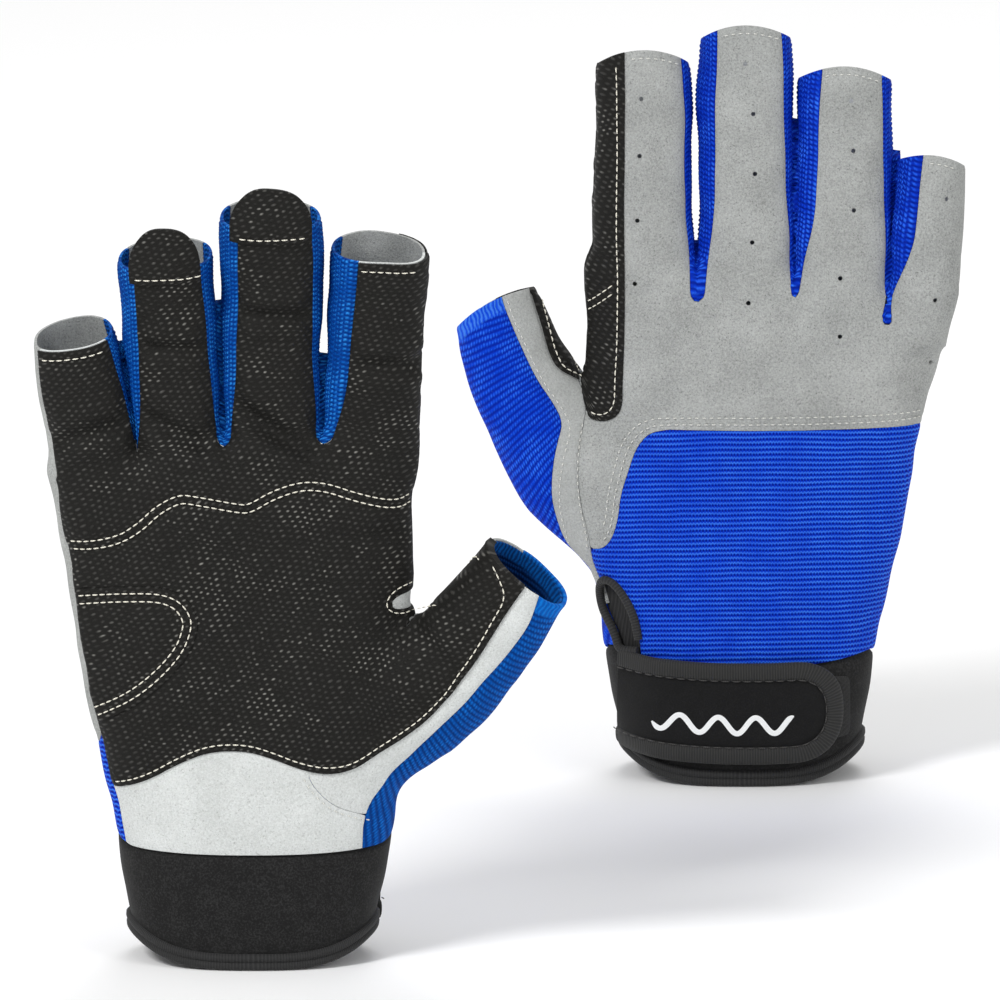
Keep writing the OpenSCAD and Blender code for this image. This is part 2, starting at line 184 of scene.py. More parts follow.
class Profile:
    """A smooth curve through (position, value) pairs."""

    def __init__(self, pairs, soft=6.0):
        step = 0.5
        self.grid = np.arange(-60, 260, step)
        raw = np.interp(self.grid, *zip(*pairs))
        half = int(3 * soft / step)
        bell = np.exp(-0.5 * (np.arange(-half, half + 1) * step / soft) ** 2)
        self.value = np.convolve(np.pad(raw, half, mode="edge"), bell / bell.sum(), "valid")

    def __call__(self, x):
        return np.interp(x, self.grid, self.value)


thumb_edge = Profile(THUMB_EDGE)
pinky_edge = Profile(PINKY_EDGE)
half_depth = Profile(HALF_DEPTH, 4.0)
crotch_front = Profile(CROTCH_FRONT, 3.0)
crotch_back = Profile(CROTCH_BACK, 3.0)


def smoothstep(x):
    x = np.clip(x, 0, 1)
    return x * x * (3 - 2 * x)


def smooth_min(a, b, k):
    h = np.maximum(k - np.abs(a - b), 0) / k
    return np.minimum(a, b) - h * h * k * 0.25


def smooth_max(a, b, k):
    return -smooth_min(-a, -b, k)


def rounded(u, v, a, b, n=FULLNESS):
    """Distance, to first order, from the rounded outline |u/a|^n + |v/b|^n = 1."""
    pu, pv = np.abs(u / a), np.abs(v / b)
    r = (pu**n + pv**n + 1e-9) ** (1 / n)
    gu = r ** (1 - n) * pu ** (n - 1) / a
    gv = r ** (1 - n) * pv ** (n - 1) / b
    return (r - 1) / np.sqrt(gu * gu + gv * gv + 1e-9)


def gauss(d, width):
    return np.exp(-((d / width) ** 2))


def mix(a, b, t):
    return a + (b - a) * t


def least(*values):
    return np.minimum.reduce([np.broadcast_to(v, np.shape(values[0])) for v in values])


def unit(v):
    return v / (np.linalg.norm(v, axis=1)[:, None] + 1e-12)


def lengths(line):
    """How far along a line each of its points lies."""
    return np.concatenate([[0], np.cumsum(np.linalg.norm(np.diff(line, axis=0), axis=1))])


def from_segment(x, z, a, b, low=0.0, high=1.0):
    """Offset from the nearest point between the shares low and high of the way from a to b."""
    dx, dz = b[0] - a[0], b[1] - a[1]
    t = np.clip(((x - a[0]) * dx + (z - a[1]) * dz) / (dx * dx + dz * dz + 1e-12), low, high)
    return x - a[0] - t * dx, z - a[1] - t * dz


def line_side(x, z, line):
    """Signed distance from an open line in a plane, positive on its left."""
    best = np.full(len(x), 1e9)
    side = np.zeros(len(x))
    for a, b in zip(line[:-1], line[1:]):
        ex, ez = from_segment(x, z, a, b)
        d = np.hypot(ex, ez)
        near = d < best - 1e-9
        best = np.where(near, d, best)
        side = np.where(near, np.sign((b[0] - a[0]) * ez - (b[1] - a[1]) * ex), side)
    return best * np.where(side == 0, 1, side)


def inside(x, z, outline):
    """Signed distance from a closed outline, positive inside."""
    best = np.full(len(x), 1e9)
    odd = np.zeros(len(x), bool)
    for a, b in zip(outline, np.roll(outline, -1, axis=0)):
        best = np.minimum(best, np.hypot(*from_segment(x, z, a, b)))
        if a[1] != b[1]:
            odd ^= ((a[1] > z) != (b[1] > z)) & (x < a[0] + (z - a[1]) * (b[0] - a[0]) / (b[1] - a[1]))
    return np.where(odd, best, -best)


def rounded_line(points, rounds=2):
    """Cuts the corners of an open line so that it runs smoothly."""
    p = np.array(points, float)
    for _ in range(rounds):
        q = np.empty((2 * len(p), 2))
        q[0], q[-1] = p[0], p[-1]
        q[1:-1:2] = p[:-1] * 0.75 + p[1:] * 0.25
        q[2::2] = p[:-1] * 0.25 + p[1:] * 0.75
        p = q
    return p


def shifted(line, distance):
    """A rounded line moved sideways, to its left."""
    line = rounded_line(line)
    d = unit(np.gradient(line, axis=0))
    return line + distance * np.stack([-d[:, 1], d[:, 0]], 1)


def resample(line, step):
    line = np.array(line, float)
    length = lengths(line)
    at = np.linspace(0, length[-1], max(int(length[-1] / step), 2))
    return np.stack([np.interp(at, length, line[:, i]) for i in range(line.shape[1])], 1)


class Thumb:
    """A thumb stall along a curve, with its half width and depth along it, and the slant of its rim."""

    STATIONS = [-0.2, 0, 0.35, 0.65, 1, 1.3]
    HALF_DEPTH = [15, 15, 14.5, 13, 10.6, 10]

    def __init__(self, base, bend, tip, half_width, slant, fall):
        self.points = [np.array(p, float) for p in (base, bend, tip)]
        self.half_width, self.slant, self.fall = half_width, slant, fall

    def to_rim(self, s, u):
        """Distance down from the rim, which slants and falls away on the outer side."""
        a, _, c = self.points
        return (1 - s) * np.linalg.norm(c - a) - self.slant * u - self.fall * np.maximum(u + 9, 0) ** 2

    def centre(self, s):
        s = s[:, None]
        a, b, c = self.points
        return a * (1 - s) ** 2 + b * 2 * s * (1 - s) + c * s * s

    def along(self, s):
        s = s[:, None]
        a, b, c = self.points
        return 2 * ((b - a) * (1 - s) + (c - b) * s)

    def frame(self, s):
        t = unit(self.along(s))
        out = unit(np.stack([t[:, 2], 0 * s, -t[:, 0]], 1))
        return t, out, np.cross(t, out)

    def width(self, s):
        return np.interp(s, self.STATIONS, self.half_width)

    def depth(self, s):
        return np.interp(s, self.STATIONS, self.HALF_DEPTH)

    def coords(self, p):
        a, _, c = self.points
        chord = c - a
        s = np.clip((p - a) @ chord / (chord @ chord), -0.2, 1.3)
        for _ in range(5):
            t = self.along(s)
            s = np.clip(s + ((p - self.centre(s)) * t).sum(1) / (t * t).sum(1) * 0.9, -0.2, 1.35)
        _, out, back = self.frame(s)
        d = p - self.centre(s)
        return s, (d * out).sum(1), (d * back).sum(1)

    def field(self, p):
        s, u, v = self.coords(p)
        d = rounded(u, v, self.width(s), self.depth(s), THUMB_FULLNESS)
        over = ((p - self.centre(s)) * unit(self.along(s))).sum(1)
        return np.maximum(d, np.abs(over) - 1.0)

    def canonical(self, p, other):
        """Where the same spot of the fabric lies on the other thumb, seen from the front."""
        s, u, _ = self.coords(p)
        _, out, _ = other.frame(s)
        q = other.centre(s) + out * (u * other.width(s) / self.width(s))[:, None]
        return q[:, 0], q[:, 2]


PALM_THUMB = Thumb((22, 0, 62), (56.1, -3, 75.2), (76.4, -13, 110.8),
                   [20, 20, 19.2, 15.8, 13.4, 13.2], slant=0.14, fall=0)
BACK_THUMB = Thumb((24, 0, 70), (59.8, -3, 91.6), (70.4, -11, 134.9),
                   [19, 19, 19, 15.5, 11.6, 11], slant=0, fall=0.011)


class Glove:
    """One glove: its field, its coordinates and its place in the row.

    turn is 1 for palm forward and -1 for back forward. A finger is (x at its base, x at its rim,
    height of its rim, width, how much wider its base is). tip is how strongly the fingers' rims
    curve, and widen how far the little finger's side stands out. The seams are how far in from
    each side of a finger they lie at its rim, and stretch is the outline of the elastic panel.
    """

    def __init__(self, name, turn, fingers, thumb, widen, tip, front_seams, back_seams, stretch):
        lo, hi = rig.box(name + "_cuff_binding")
        self.name, self.turn, self.fingers, self.thumb = name, turn, fingers, thumb
        self.widen, self.tip = widen, tip
        self.front_seams, self.back_seams = np.array(front_seams), np.array(back_seams)
        self.stretch = rounded_line(stretch + stretch[:1])
        self.place = np.array([(lo.x + hi.x) / 2, (lo.y + hi.y) / 2, lo.z]) / MM

    def outer_edge(self, z):
        """Where the little finger's side of the hand lies."""
        return pinky_edge(z) - self.widen * smoothstep((z - 92) / 46)

    def world(self, p):
        return (p * np.array([self.turn, self.turn, 1]) + self.place) * MM

    def reach(self, k):
        """How far finger k's rim stands above its base."""
        return self.fingers[k][2] - FINGER_BASE

    def finger_centre(self, k, s):
        x0, x1 = self.fingers[k][:2]
        reach, bent = self.reach(k), np.maximum(s, 0)
        return np.stack([x0 + (x1 - x0) * s, -FINGER_TILT * reach * bent**2, FINGER_BASE + reach * s], 1)

    def finger_frame(self, k, s):
        x0, x1 = self.fingers[k][:2]
        reach = self.reach(k)
        t = unit(np.stack([0 * s + x1 - x0, -2 * FINGER_TILT * reach * np.maximum(s, 0), 0 * s + reach], 1))
        across = unit(np.array([1.0, 0, 0]) - t[:, :1] * t)
        return t, across, np.cross(t, across)

    def finger_coords(self, k, p):
        reach = self.reach(k)
        s = (p[:, 2] - FINGER_BASE) / reach
        for _ in range(2):
            t, _, _ = self.finger_frame(k, s)
            s = s + ((p - self.finger_centre(k, s)) * t).sum(1) / reach
        t, across, back = self.finger_frame(k, s)
        d = p - self.finger_centre(k, s)
        return s, (d * across).sum(1), (d * back).sum(1)

    def finger_half(self, k, s):
        taper = 0.22 * np.maximum(-s * self.reach(k), 0)
        return self.fingers[k][3] / 2 + self.fingers[k][4] * (1 - np.clip(s, 0, 1) ** 2) - taper

    def finger_field(self, k, p):
        s, u, v = self.finger_coords(k, p)
        d = rounded(u, v, self.finger_half(k, s), FINGER_DEPTH, FINGER_FULLNESS)
        past_rim, into_hand = 3.2, 14
        return np.maximum(np.maximum(d, (s - 1) * self.reach(k) - past_rim), -s * self.reach(k) - into_hand)

    def hand_field(self, p):
        x, y, z = p.T
        lo, hi = self.outer_edge(z), thumb_edge(z)
        palm = smoothstep(-y / 8)
        back = smoothstep(y / 8)
        thumb_ball = 2.6 * gauss(x - 24, 15) * gauss(z - 70, 22)
        outer_ball = 1.8 * gauss(x + 32, 13) * gauss(z - 78, 26)
        hollow = 1.2 * gauss(x + 2, 13) * gauss(z - 92, 26)
        swell = palm * (thumb_ball + outer_ball - hollow) + back * gauss(x, 30) * gauss(z - 90, 40)
        d = rounded(x - (lo + hi) / 2, y, (hi - lo) / 2, half_depth(z)) - swell
        roof = crotch_front(x) + 3.2 - 0.3 * np.maximum(y, 0) - 0.35 * np.maximum(-y - 5, 0)
        return smooth_max(d, z - roof, 5)

    def field(self, p):
        x, _, z = p.T
        d = self.hand_field(p)
        high = z > 112
        if high.any():
            q = p[high]
            fingers = np.min([self.finger_field(k, q) for k in range(4)], axis=0)
            d[high] = smooth_min(d[high], fingers, 4.5)
        side = x > 16
        if side.any():
            d[side] = smooth_min(d[side], self.thumb.field(p[side]), 6)
        return d

    def gradient(self, p):
        e = 0.05
        d = self.field(p)
        g = np.stack([(self.field(p + np.eye(3)[i] * e) - d) / e for i in range(3)], 1)
        return g, d

    def snap(self, p, steps=2):
        """Moves points onto the surface."""
        for _ in range(steps):
            g, d = self.gradient(p)
            n2 = np.maximum((g * g).sum(1), 0.05)
            p = p - g * np.clip(d / n2, -2, 2)[:, None]
        return p

    def normals(self, p):
        return unit(self.gradient(p)[0])


# ---------------------------------------------------------------- meshing


def surface_nets(field, lo, hi, step):
    """Triangle mesh of the field's zero level: one point in each cell it crosses, joined into quads."""
    axes = [np.arange(l, h, step) for l, h in zip(lo, hi)]
    shape = tuple(len(a) for a in axes)
    grid = np.stack(np.meshgrid(*axes, indexing="ij"), -1).reshape(-1, 3)
    f = np.concatenate([field(c) for c in np.array_split(grid, 8)]).reshape(shape)
    inside = f < 0
    corner = np.array([(i, j, k) for i in (0, 1) for j in (0, 1) for k in (0, 1)])
    cells = tuple(n - 1 for n in shape)
    count = sum(inside[i:i + cells[0], j:j + cells[1], k:k + cells[2]].astype(int) for i, j, k in corner)
    active = np.argwhere((count > 0) & (count < 8))
    number = -np.ones(cells, int)
    number[tuple(active.T)] = np.arange(len(active))
    total, weight = np.zeros((len(active), 3)), np.zeros(len(active))
    for a in range(8):
        for b in range(a + 1, 8):
            if np.abs(corner[a] - corner[b]).sum() != 1:
                continue
            ia, ib = active + corner[a], active + corner[b]
            fa, fb = f[tuple(ia.T)], f[tuple(ib.T)]
            cross = (fa < 0) != (fb < 0)
            t = np.where(cross, fa / np.where(cross, fa - fb, 1), 0)[:, None]
            total += np.where(cross[:, None], ia + (ib - ia) * t, 0)
            weight += cross
    points = np.array(lo) + total / weight[:, None] * step
    tris = []
    for axis in range(3):
        u, v = (axis + 1) % 3, (axis + 2) % 3
        cut = [slice(None)] * 3
        cut[axis] = slice(0, shape[axis] - 1)
        nxt = [slice(None)] * 3
        nxt[axis] = slice(1, shape[axis])
        a, b = inside[tuple(cut)], inside[tuple(nxt)]
        edges = np.argwhere(a != b)
        keep = (edges[:, u] > 0) & (edges[:, v] > 0) & (edges[:, u] < cells[u]) & (edges[:, v] < cells[v])
        edges = edges[keep]
        eu, ev = np.eye(3, dtype=int)[u], np.eye(3, dtype=int)[v]
        quad = np.stack([number[tuple((edges - du * eu - dv * ev).T)]
                         for du, dv in ((1, 1), (0, 1), (0, 0), (1, 0))], 1)
        flip = ~a[tuple(edges.T)]
        quad[flip] = quad[flip][:, ::-1]
        first = np.linalg.norm(points[quad[:, 0]] - points[quad[:, 2]], axis=1)
        second = np.linalg.norm(points[quad[:, 1]] - points[quad[:, 3]], axis=1)
        one = first <= second
        tris += [quad[one][:, [0, 1, 2]], quad[one][:, [0, 2, 3]]]
        tris += [quad[~one][:, [0, 1, 3]], quad[~one][:, [1, 2, 3]]]
    return points, np.concatenate(tris)


def mesh_edges(tris):
    e = np.sort(np.concatenate([tris[:, [0, 1]], tris[:, [1, 2]], tris[:, [2, 0]]]), axis=1)
    unique, inverse, count = np.unique(e, axis=0, return_inverse=True, return_counts=True)
    return unique, inverse.reshape(-1).reshape(3, -1), count


def relax(glove, points, tris, rounds=3):
    """Evens out the mesh within the surface."""
    edges, _, _ = mesh_edges(tris)
    degree = np.bincount(edges.ravel(), minlength=len(points))[:, None]
    for _ in range(rounds):
        total = np.zeros_like(points)
        np.add.at(total, edges[:, 0], points[edges[:, 1]])
        np.add.at(total, edges[:, 1], points[edges[:, 0]])
        points = glove.snap(points + 0.6 * (total / np.maximum(degree, 1) - points), 1)
    return points


def compact(points, tris):
    used, new = np.unique(tris, return_inverse=True)
    return points[used], new.reshape(-1, 3)


def clip(points, tris, value):
    """Keeps the part of a mesh where value is positive, cut cleanly along its zero line."""
    points, value = points.copy(), value.copy()
    edges, _, _ = mesh_edges(tris)
    for a, b in ((0, 1), (1, 0)):
        va, vb = value[edges[:, a]], value[edges[:, b]]
        t = np.where(va * vb < 0, va / np.where(va == vb, 1, va - vb), 1)
        near = (va * vb < 0) & (t < 0.22)
        order = np.argsort(-t[near])
        i, j, tt = edges[near, a][order], edges[near, b][order], t[near][order]
        moved = points[i] + (points[j] - points[i]) * tt[:, None]
        points[i] = moved
        value[i] = 0
    sign = np.sign(value).astype(int)
    s = sign[tris]
    keep = tris[(s >= 0).all(1) & (s > 0).any(1)]
    mixed = tris[(s > 0).any(1) & (s < 0).any(1)]
    new_points, new_id, out = [], {}, [keep]

    def crossing(i, j):
        key = (i, j) if i < j else (j, i)
        if key not in new_id:
            t = value[i] / (value[i] - value[j])
            new_id[key] = len(points) + len(new_points)
            new_points.append(points[i] + (points[j] - points[i]) * t)
        return new_id[key]

    extra = []
    for tri in mixed.tolist():
        st = [sign[i] for i in tri]
        while not (st[0] > 0 and st[2] <= 0):
            tri, st = tri[1:] + tri[:1], st[1:] + st[:1]
        a, b, c = tri
        if st[1] > 0:
            m, n = crossing(b, c), crossing(a, c)
            extra += [(a, b, m), (a, m, n)]
        elif st[1] == 0:
            extra.append((a, b, crossing(a, c)))
        elif st[2] == 0:
            extra.append((a, crossing(a, b), c))
        else:
            extra.append((a, crossing(a, b), crossing(a, c)))
    if extra:
        out.append(np.array(extra))
    if new_points:
        points = np.concatenate([points, np.array(new_points)])
    return compact(points, np.concatenate(out))


def border_edges(tris):
    """Directed edges that only one triangle uses."""
    e = np.concatenate([tris[:, [0, 1]], tris[:, [1, 2]], tris[:, [2, 0]]])
    key = np.sort(e, axis=1)
    _, inverse, count = np.unique(key, axis=0, return_inverse=True, return_counts=True)
    return e[count[inverse.reshape(-1)] == 1]


def closed_sheet(points, tris, normal, outer, inner):
    """Closed solid between two offsets of a sheet."""
    n = len(points)
    both = np.concatenate([points + normal * outer[:, None], points + normal * inner[:, None]])
    a, b = border_edges(tris).T
    wall = np.concatenate([np.stack([b, a, a + n], 1), np.stack([b, a + n, b + n], 1)])
    return both, np.concatenate([tris, tris[:, ::-1] + n, wall])


# ---------------------------------------------------------------- Blender objects

def make_object(name, points, faces, material, attributes, sharp):
    mesh = bpy.data.meshes.new(name)
    faces = np.asarray(faces)
    mesh.vertices.add(len(points))
    mesh.vertices.foreach_set("co", np.asarray(points, np.float32).ravel())
    size = faces.shape[1]
    mesh.loops.add(faces.size)
    mesh.loops.foreach_set("vertex_index", faces.astype(np.int32).ravel())
    mesh.polygons.add(len(faces))
    mesh.polygons.foreach_set("loop_start", np.arange(0, faces.size, size, dtype=np.int32))
    mesh.polygons.foreach_set("use_smooth", np.ones(len(faces), bool))
    mesh.update(calc_edges=True)
    mesh.validate()
    for key, value in attributes.items():
        layer = mesh.attributes.new(key, "FLOAT_VECTOR", "POINT")
        layer.data.foreach_set("vector", np.asarray(value, np.float32).ravel())
    mesh.set_sharp_from_angle(angle=math.radians(sharp))
    mesh.materials.append(material)
    obj = bpy.data.objects.new(name, mesh)
    bpy.context.scene.collection.objects.link(obj)
    return obj


# ---------------------------------------------------------------- where a point lies

# Drawn on the palm: LOW_EDGE, LOW_STITCH, BLUE_PALM, HEEL_SEAM, WAVE, HEEL, NOTCH and NOTCH_STITCH.
# Drawn on the back: BLUE_BACK, THUMB_SEAM, BLACK_BACK, STRETCH, SLIT and WRAP. All are (x, z).
LOW_EDGE = [(-60, 49.5), (-41.2, 49.5), (-36.4, 49.8), (-28.8, 52.8), (-20.2, 58), (-11.8, 61.4),
            (-2, 61.7), (5.3, 59.7), (14, 56.3), (21.6, 54.8), (28, 56.2), (35.6, 60.6), (44, 65.8),
            (52.2, 73), (58.2, 81), (64, 89.6), (68.6, 97.8), (72.6, 104.7), (78, 113)]
LOW_STITCH = [(-41.2, 51), (-36.4, 51.5), (-28.8, 54.6), (-20.2, 59.9), (-11.8, 63.3), (-2, 63.6),
              (5.3, 61.6), (14, 58.2), (21.6, 56.8), (28, 58.2), (35.6, 62.7), (44, 68), (51.5, 75),
              (56.8, 82.9), (62.2, 91), (66.6, 99.1), (70.3, 105.6), (68.6, 110.9), (66.6, 115),
              (65, 118)]
BLUE_PALM = [(30.5, 30), (31, 44.5), (37.7, 52), (45.7, 60), (53.6, 68.2), (59.1, 74.1), (63.4, 80),
             (68.9, 86), (74, 92.6), (77.5, 98.1), (79.3, 102.6), (82, 112)]
BLUE_BACK = [(34, 30), (35, 42), (38.6, 48), (42.6, 56), (43.5, 60), (47, 62.5), (50.3, 66),
             (52.4, 74.2), (53.1, 80), (52.8, 87.4), (51.2, 95.4), (49.6, 100.8), (51.7, 105.4),
             (58, 113.7), (63.8, 125.7), (67.2, 133.6), (69, 141), (72, 165)]
THUMB_SEAM = [(36, 30), (37, 44), (40, 54), (41.7, 60), (42.6, 66.2), (44, 74.2), (45.4, 82.8), (45.4, 93),
              (43.7, 103.4), (44.2, 109), (46.5, 114), (48, 150)]
BLACK_BACK = [(43, 104), (44.9, 112.8), (47.2, 113.1), (50.6, 114.8), (53.2, 117.7), (56.9, 128),
              (59.2, 135.4), (61.2, 144), (64, 160)]
HEEL_SEAM = [(15, 60), (15.2, 55), (17.6, 50.6), (22.7, 45.9), (29.1, 43.4), (34, 42), (45, 40)]
STRETCH = [(21, 102), (26.5, 100.8), (30, 96.4), (31.9, 91), (34.2, 82.6), (34.6, 75.3), (36.3, 69.6),
           (38.8, 66.4), (42, 65.8), (48, 62), (48, 28)]
STRETCH_HIDDEN = [(-46, 28), (-45.5, 48), (-44.6, 56), (-42, 64), (-43.2, 74), (-45.2, 83.7), (-46.8, 92),
                  (-47.6, 98), (-46, 101.2), (-43, 102)]
STRETCH_SHOWN = [(-60, 28), (-60, 84), (-53.4, 94), (-52.4, 98), (-51.4, 100.8), (-48.5, 102)]
SLIT = [(28, 30), (29.3, 43), (30.8, 49), (34, 55), (38.4, 58.6), (40.4, 56), (39.6, 48.5), (35.4, 42),
        (33.4, 30)]
WAVE = [(-60, 117.5), (-53.2, 118.4), (-45, 119), (-37.2, 121), (-31.6, 124.6), (-26.6, 129.6),
        (-20.2, 133), (-15.4, 132.4), (-3.4, 130.2), (-0.8, 130.2), (5.3, 133.8), (13.4, 136.4),
        (20.7, 135.8), (28.8, 133), (39.2, 130.2), (50, 133)]
HEEL = [(-62, 68), (-44.8, 68), (-39.5, 71.7), (-31.9, 76.4), (-24.6, 82.9), (-19.3, 89.3),
        (-17.1, 94.9), (-16.8, 98.6), (-19.3, 102.8), (-23.5, 105), (-28.8, 105.6), (-39.5, 105),
        (-51.2, 102.8), (-62, 102)]
NOTCH = [(54, 106), (50, 100.2), (44.5, 99.2), (39.8, 99.2), (38.4, 101), (39.8, 102.9), (44, 103.9),
         (50, 106)]
NOTCH_STITCH = [(51.5, 100.8), (46.2, 98.6), (40.9, 97.7), (37, 99.7), (37, 102.8), (39.8, 105.6),
                (44.5, 106.7)]
WRAP = [(33.2, 230), (33.2, 112), (34.2, 106), (37.4, 103.2), (41.5, 102.8), (45.5, 104.5), (46.5, 112),
        (56, 230)]


LINES = {key: rounded_line(value) for key, value in {
    "low": LOW_EDGE, "blue_palm": BLUE_PALM, "blue_back": BLUE_BACK, "seam": THUMB_SEAM,
    "black_back": BLACK_BACK, "heel_seam": HEEL_SEAM, "wave": WAVE}.items()}
AREAS = {key: rounded_line(value + value[:1]) for key, value in {
    "slit": SLIT, "heel": HEEL, "notch": NOTCH, "wrap": WRAP}.items()}


class Where:
    """Everything the cutting lines need to know about a set of surface points.

    Most values are distances in mm, positive inside: front (the palm's side), palm_side and
    back_side (the leather and suede, without the walls between the fingers), blue, black,
    stretch and slit. palm and back are the points as drawn on the two outlines.
    """

    def __init__(self, glove, p):
        self.glove, self.p = glove, p
        self.x, self.y, self.z = p.T
        self.find_thumb()
        self.find_finger()
        self.find_front()
        self.find_seams()
        self.find_sides()

    def find_thumb(self):
        """thumb is the thumb's share of a point; ts, tu and tv lie along it, across it and to its back."""
        stall, flat = self.glove.thumb, (self.x, self.z)
        ours = np.where(self.z > 138, self.x > 50, self.x > 16)
        self.thumb = smoothstep((self.glove.hand_field(self.p) - stall.field(self.p)) / 9 + 0.4) * ours
        self.ts, self.tu, self.tv = stall.coords(self.p)
        self.thumb_end = 60 * np.minimum(self.ts - 0.5, self.thumb - 0.5)
        self.palm, self.back = (
            [mix(a, b, self.thumb) for a, b in zip(flat, stall.canonical(self.p, drawn))]
            for drawn in (PALM_THUMB, BACK_THUMB))

    def find_finger(self):
        """k is the nearest finger; s, u and v lie along it, across it and to its back."""
        glove, n = self.glove, len(self.p)
        fields = np.array([glove.finger_field(k, self.p) for k in range(4)])
        self.k = fields.argmin(0)
        nearest = np.sort(fields, axis=0)
        self.between = nearest[1] - nearest[0]
        self.s, self.u, self.v, self.half, self.reach = np.zeros((5, n))
        for k in range(4):
            m = self.k == k
            self.s[m], self.u[m], self.v[m] = glove.finger_coords(k, self.p[m])
            self.half[m] = glove.finger_half(k, self.s[m])
            self.reach[m] = glove.reach(k)

    def find_front(self):
        """The palm's side wraps a sliver of the little finger's outer side."""
        glove, sliver = self.glove, 1.6
        outer_pinky = (self.k == PINKY) & (self.u < 0)
        self.outer = outer_pinky | (self.k == INDEX) & (self.u > 0)
        wrapped = np.minimum(-self.v, self.u + self.half - sliver)
        self.finger_front = np.where(outer_pinky, wrapped, -self.v)
        hand = np.minimum(-self.y, self.x - glove.outer_edge(self.z) - sliver)
        flat = mix(hand, self.finger_front, smoothstep((self.z - 128) / 14))
        self.front = mix(flat, -self.tv, self.thumb)
        finger_rim = (1 - self.s) * self.reach - glove.tip * self.u**2
        self.rim = np.where(self.thumb > 0.5, glove.thumb.to_rim(self.ts, self.tu),
                            np.where(self.z > 150, finger_rim, 99))

    def find_seams(self):
        """Sides of the drawn seams. A seam drawn on both faces changes over round the edge."""
        self.hand = smooth_max(self.front, -line_side(*self.back, LINES["seam"]), 1.0)
        blue = line_side(*self.back, LINES["blue_back"])
        self.blue = -mix(blue, line_side(*self.palm, LINES["blue_palm"]), smoothstep(0.5 + self.front / 4))
        inner = np.minimum(line_side(*self.back, LINES["black_back"]), 14 * self.thumb - 5)
        self.black = mix(inner, line_side(*self.palm, LINES["low"]), smoothstep(1 + self.front / 3))
        self.heel_side = np.minimum(-line_side(*self.palm, LINES["heel_seam"]), self.front + 2)
        self.stretch = inside(*self.back, self.glove.stretch)
        slit = np.where(self.hand < 3, inside(self.x, self.z, AREAS["slit"]), -20)
        self.slit = np.where(self.y > -6, slit, -20)

    def find_sides(self):
        glove, away = self.glove, 60 * self.thumb
        low_front = np.minimum(crotch_front(self.x) - self.z + away, self.hand)
        low_back = np.minimum(crotch_back(self.x) - self.z, -self.hand)
        self.palm_side = smooth_max(self.strip(glove.front_seams, -1) - away, low_front, 3)
        back = smooth_max(self.strip(glove.back_seams, 1) - away, low_back, 3)
        self.back_side = np.minimum(back, -self.palm_side)

    def strip(self, seams, sign):
        """Inside a finger's strip of leather (sign -1) or suede (1), whose seams meet at its base."""
        low, high = (1.5 + (seams[self.k, i] - 1.5) * smoothstep((self.s + 0.15) / 0.6) for i in (0, 1))
        between = least(self.u + self.half - low, self.half - high - self.u, sign * self.v)
        return np.where(self.z > 118, np.where(self.outer, -sign * self.finger_front, between), -40)


def wall_between(w, k):
    """The blue side wall between finger k and the next one towards the thumb."""
    toward = np.where(w.k == k, w.u, np.where(w.k == k + 1, -w.u, -9))
    return least(-w.palm_side, -w.back_side, toward)


def wrap_area(w):
    """The grip leather round the index finger's outer side; it follows the finger's lean."""
    lean = smoothstep((w.z - 150) / 20) * (33.2 + w.u - 0.42 * w.half - w.x)
    ours = np.where((w.k == INDEX) | (w.z < 140), 9, -9)
    return least(inside(w.x + lean, w.z, AREAS["wrap"]), 0.2 - w.front, 9 - 18 * w.thumb, ours)


def grip_area(w):
    below_wave = -line_side(*w.palm, LINES["wave"]) + 60 * (w.thumb > 0.5)
    notch = np.where(w.front > 0, -inside(*w.palm, AREAS["notch"]), 9)
    pinky_side = np.where((w.x < 0) & (w.thumb < 0.5), w.front - 0.3, 9)
    return least(w.palm_side, w.black, below_wave, notch, pinky_side)


def palm_suede(w):
    return least(w.palm_side, -w.blue, np.maximum(w.black, w.heel_side), w.rim - 0.5)


def finger_grip(w):
    return least(w.palm_side - 0.25, line_side(*w.palm, LINES["wave"]) + 2.2, 9 - 18 * w.thumb)


# each panel: where it lies, and its side of the knuckle plane (-1 below, 1 above, 0 both)
PANELS = {
    "palm_base": (lambda w: least(palm_suede(w), GAP - w.thumb_end), -1),
    "thumb_front": (lambda w: least(palm_suede(w), GAP + w.thumb_end), 0),
    "finger_fronts": (lambda w: least(w.palm_side, 9 - 18 * w.thumb), 1),
    "thumb_base": (lambda w: least(w.palm_side, -w.blue, -np.maximum(w.black, w.heel_side)), 0),
    "thumb_back": (lambda w: least(w.palm_side, w.blue, -w.slit), 0),
    "back_stretch": (lambda w: least(w.back_side, w.stretch, -w.slit), 0),
    "back_panel": (lambda w: least(w.back_side, -w.stretch, -w.slit), -1),
    "finger_backs": (lambda w: w.back_side, 1),
    "gusset_ring_pinky": (lambda w: wall_between(w, PINKY), 0),
    "gusset_middle_ring": (lambda w: wall_between(w, RING), 0),
    "gusset_index_middle": (lambda w: wall_between(w, MIDDLE), 0),
    "palm_grip": (lambda w: least(grip_area(w), GAP - w.thumb_end), 0),
    "thumb_grip": (lambda w: least(grip_area(w), GAP + w.thumb_end), 0),
    "finger_grips": (finger_grip, 0),
    "heel_patch": (lambda w: least(inside(*w.palm, AREAS["heel"]) + 1.8, w.front - 1.4), 0),
    "index_patch": (wrap_area, 0),
    # the inside of the thumb stall: a darker navy sheet under its knit, painted shade
    "thumb_lining": (lambda w: least(24 * (w.thumb - 0.5), 60 * (w.ts - 0.45), w.rim - 0.3), 0),
}


# ---------------------------------------------------------------- relief of the fabric

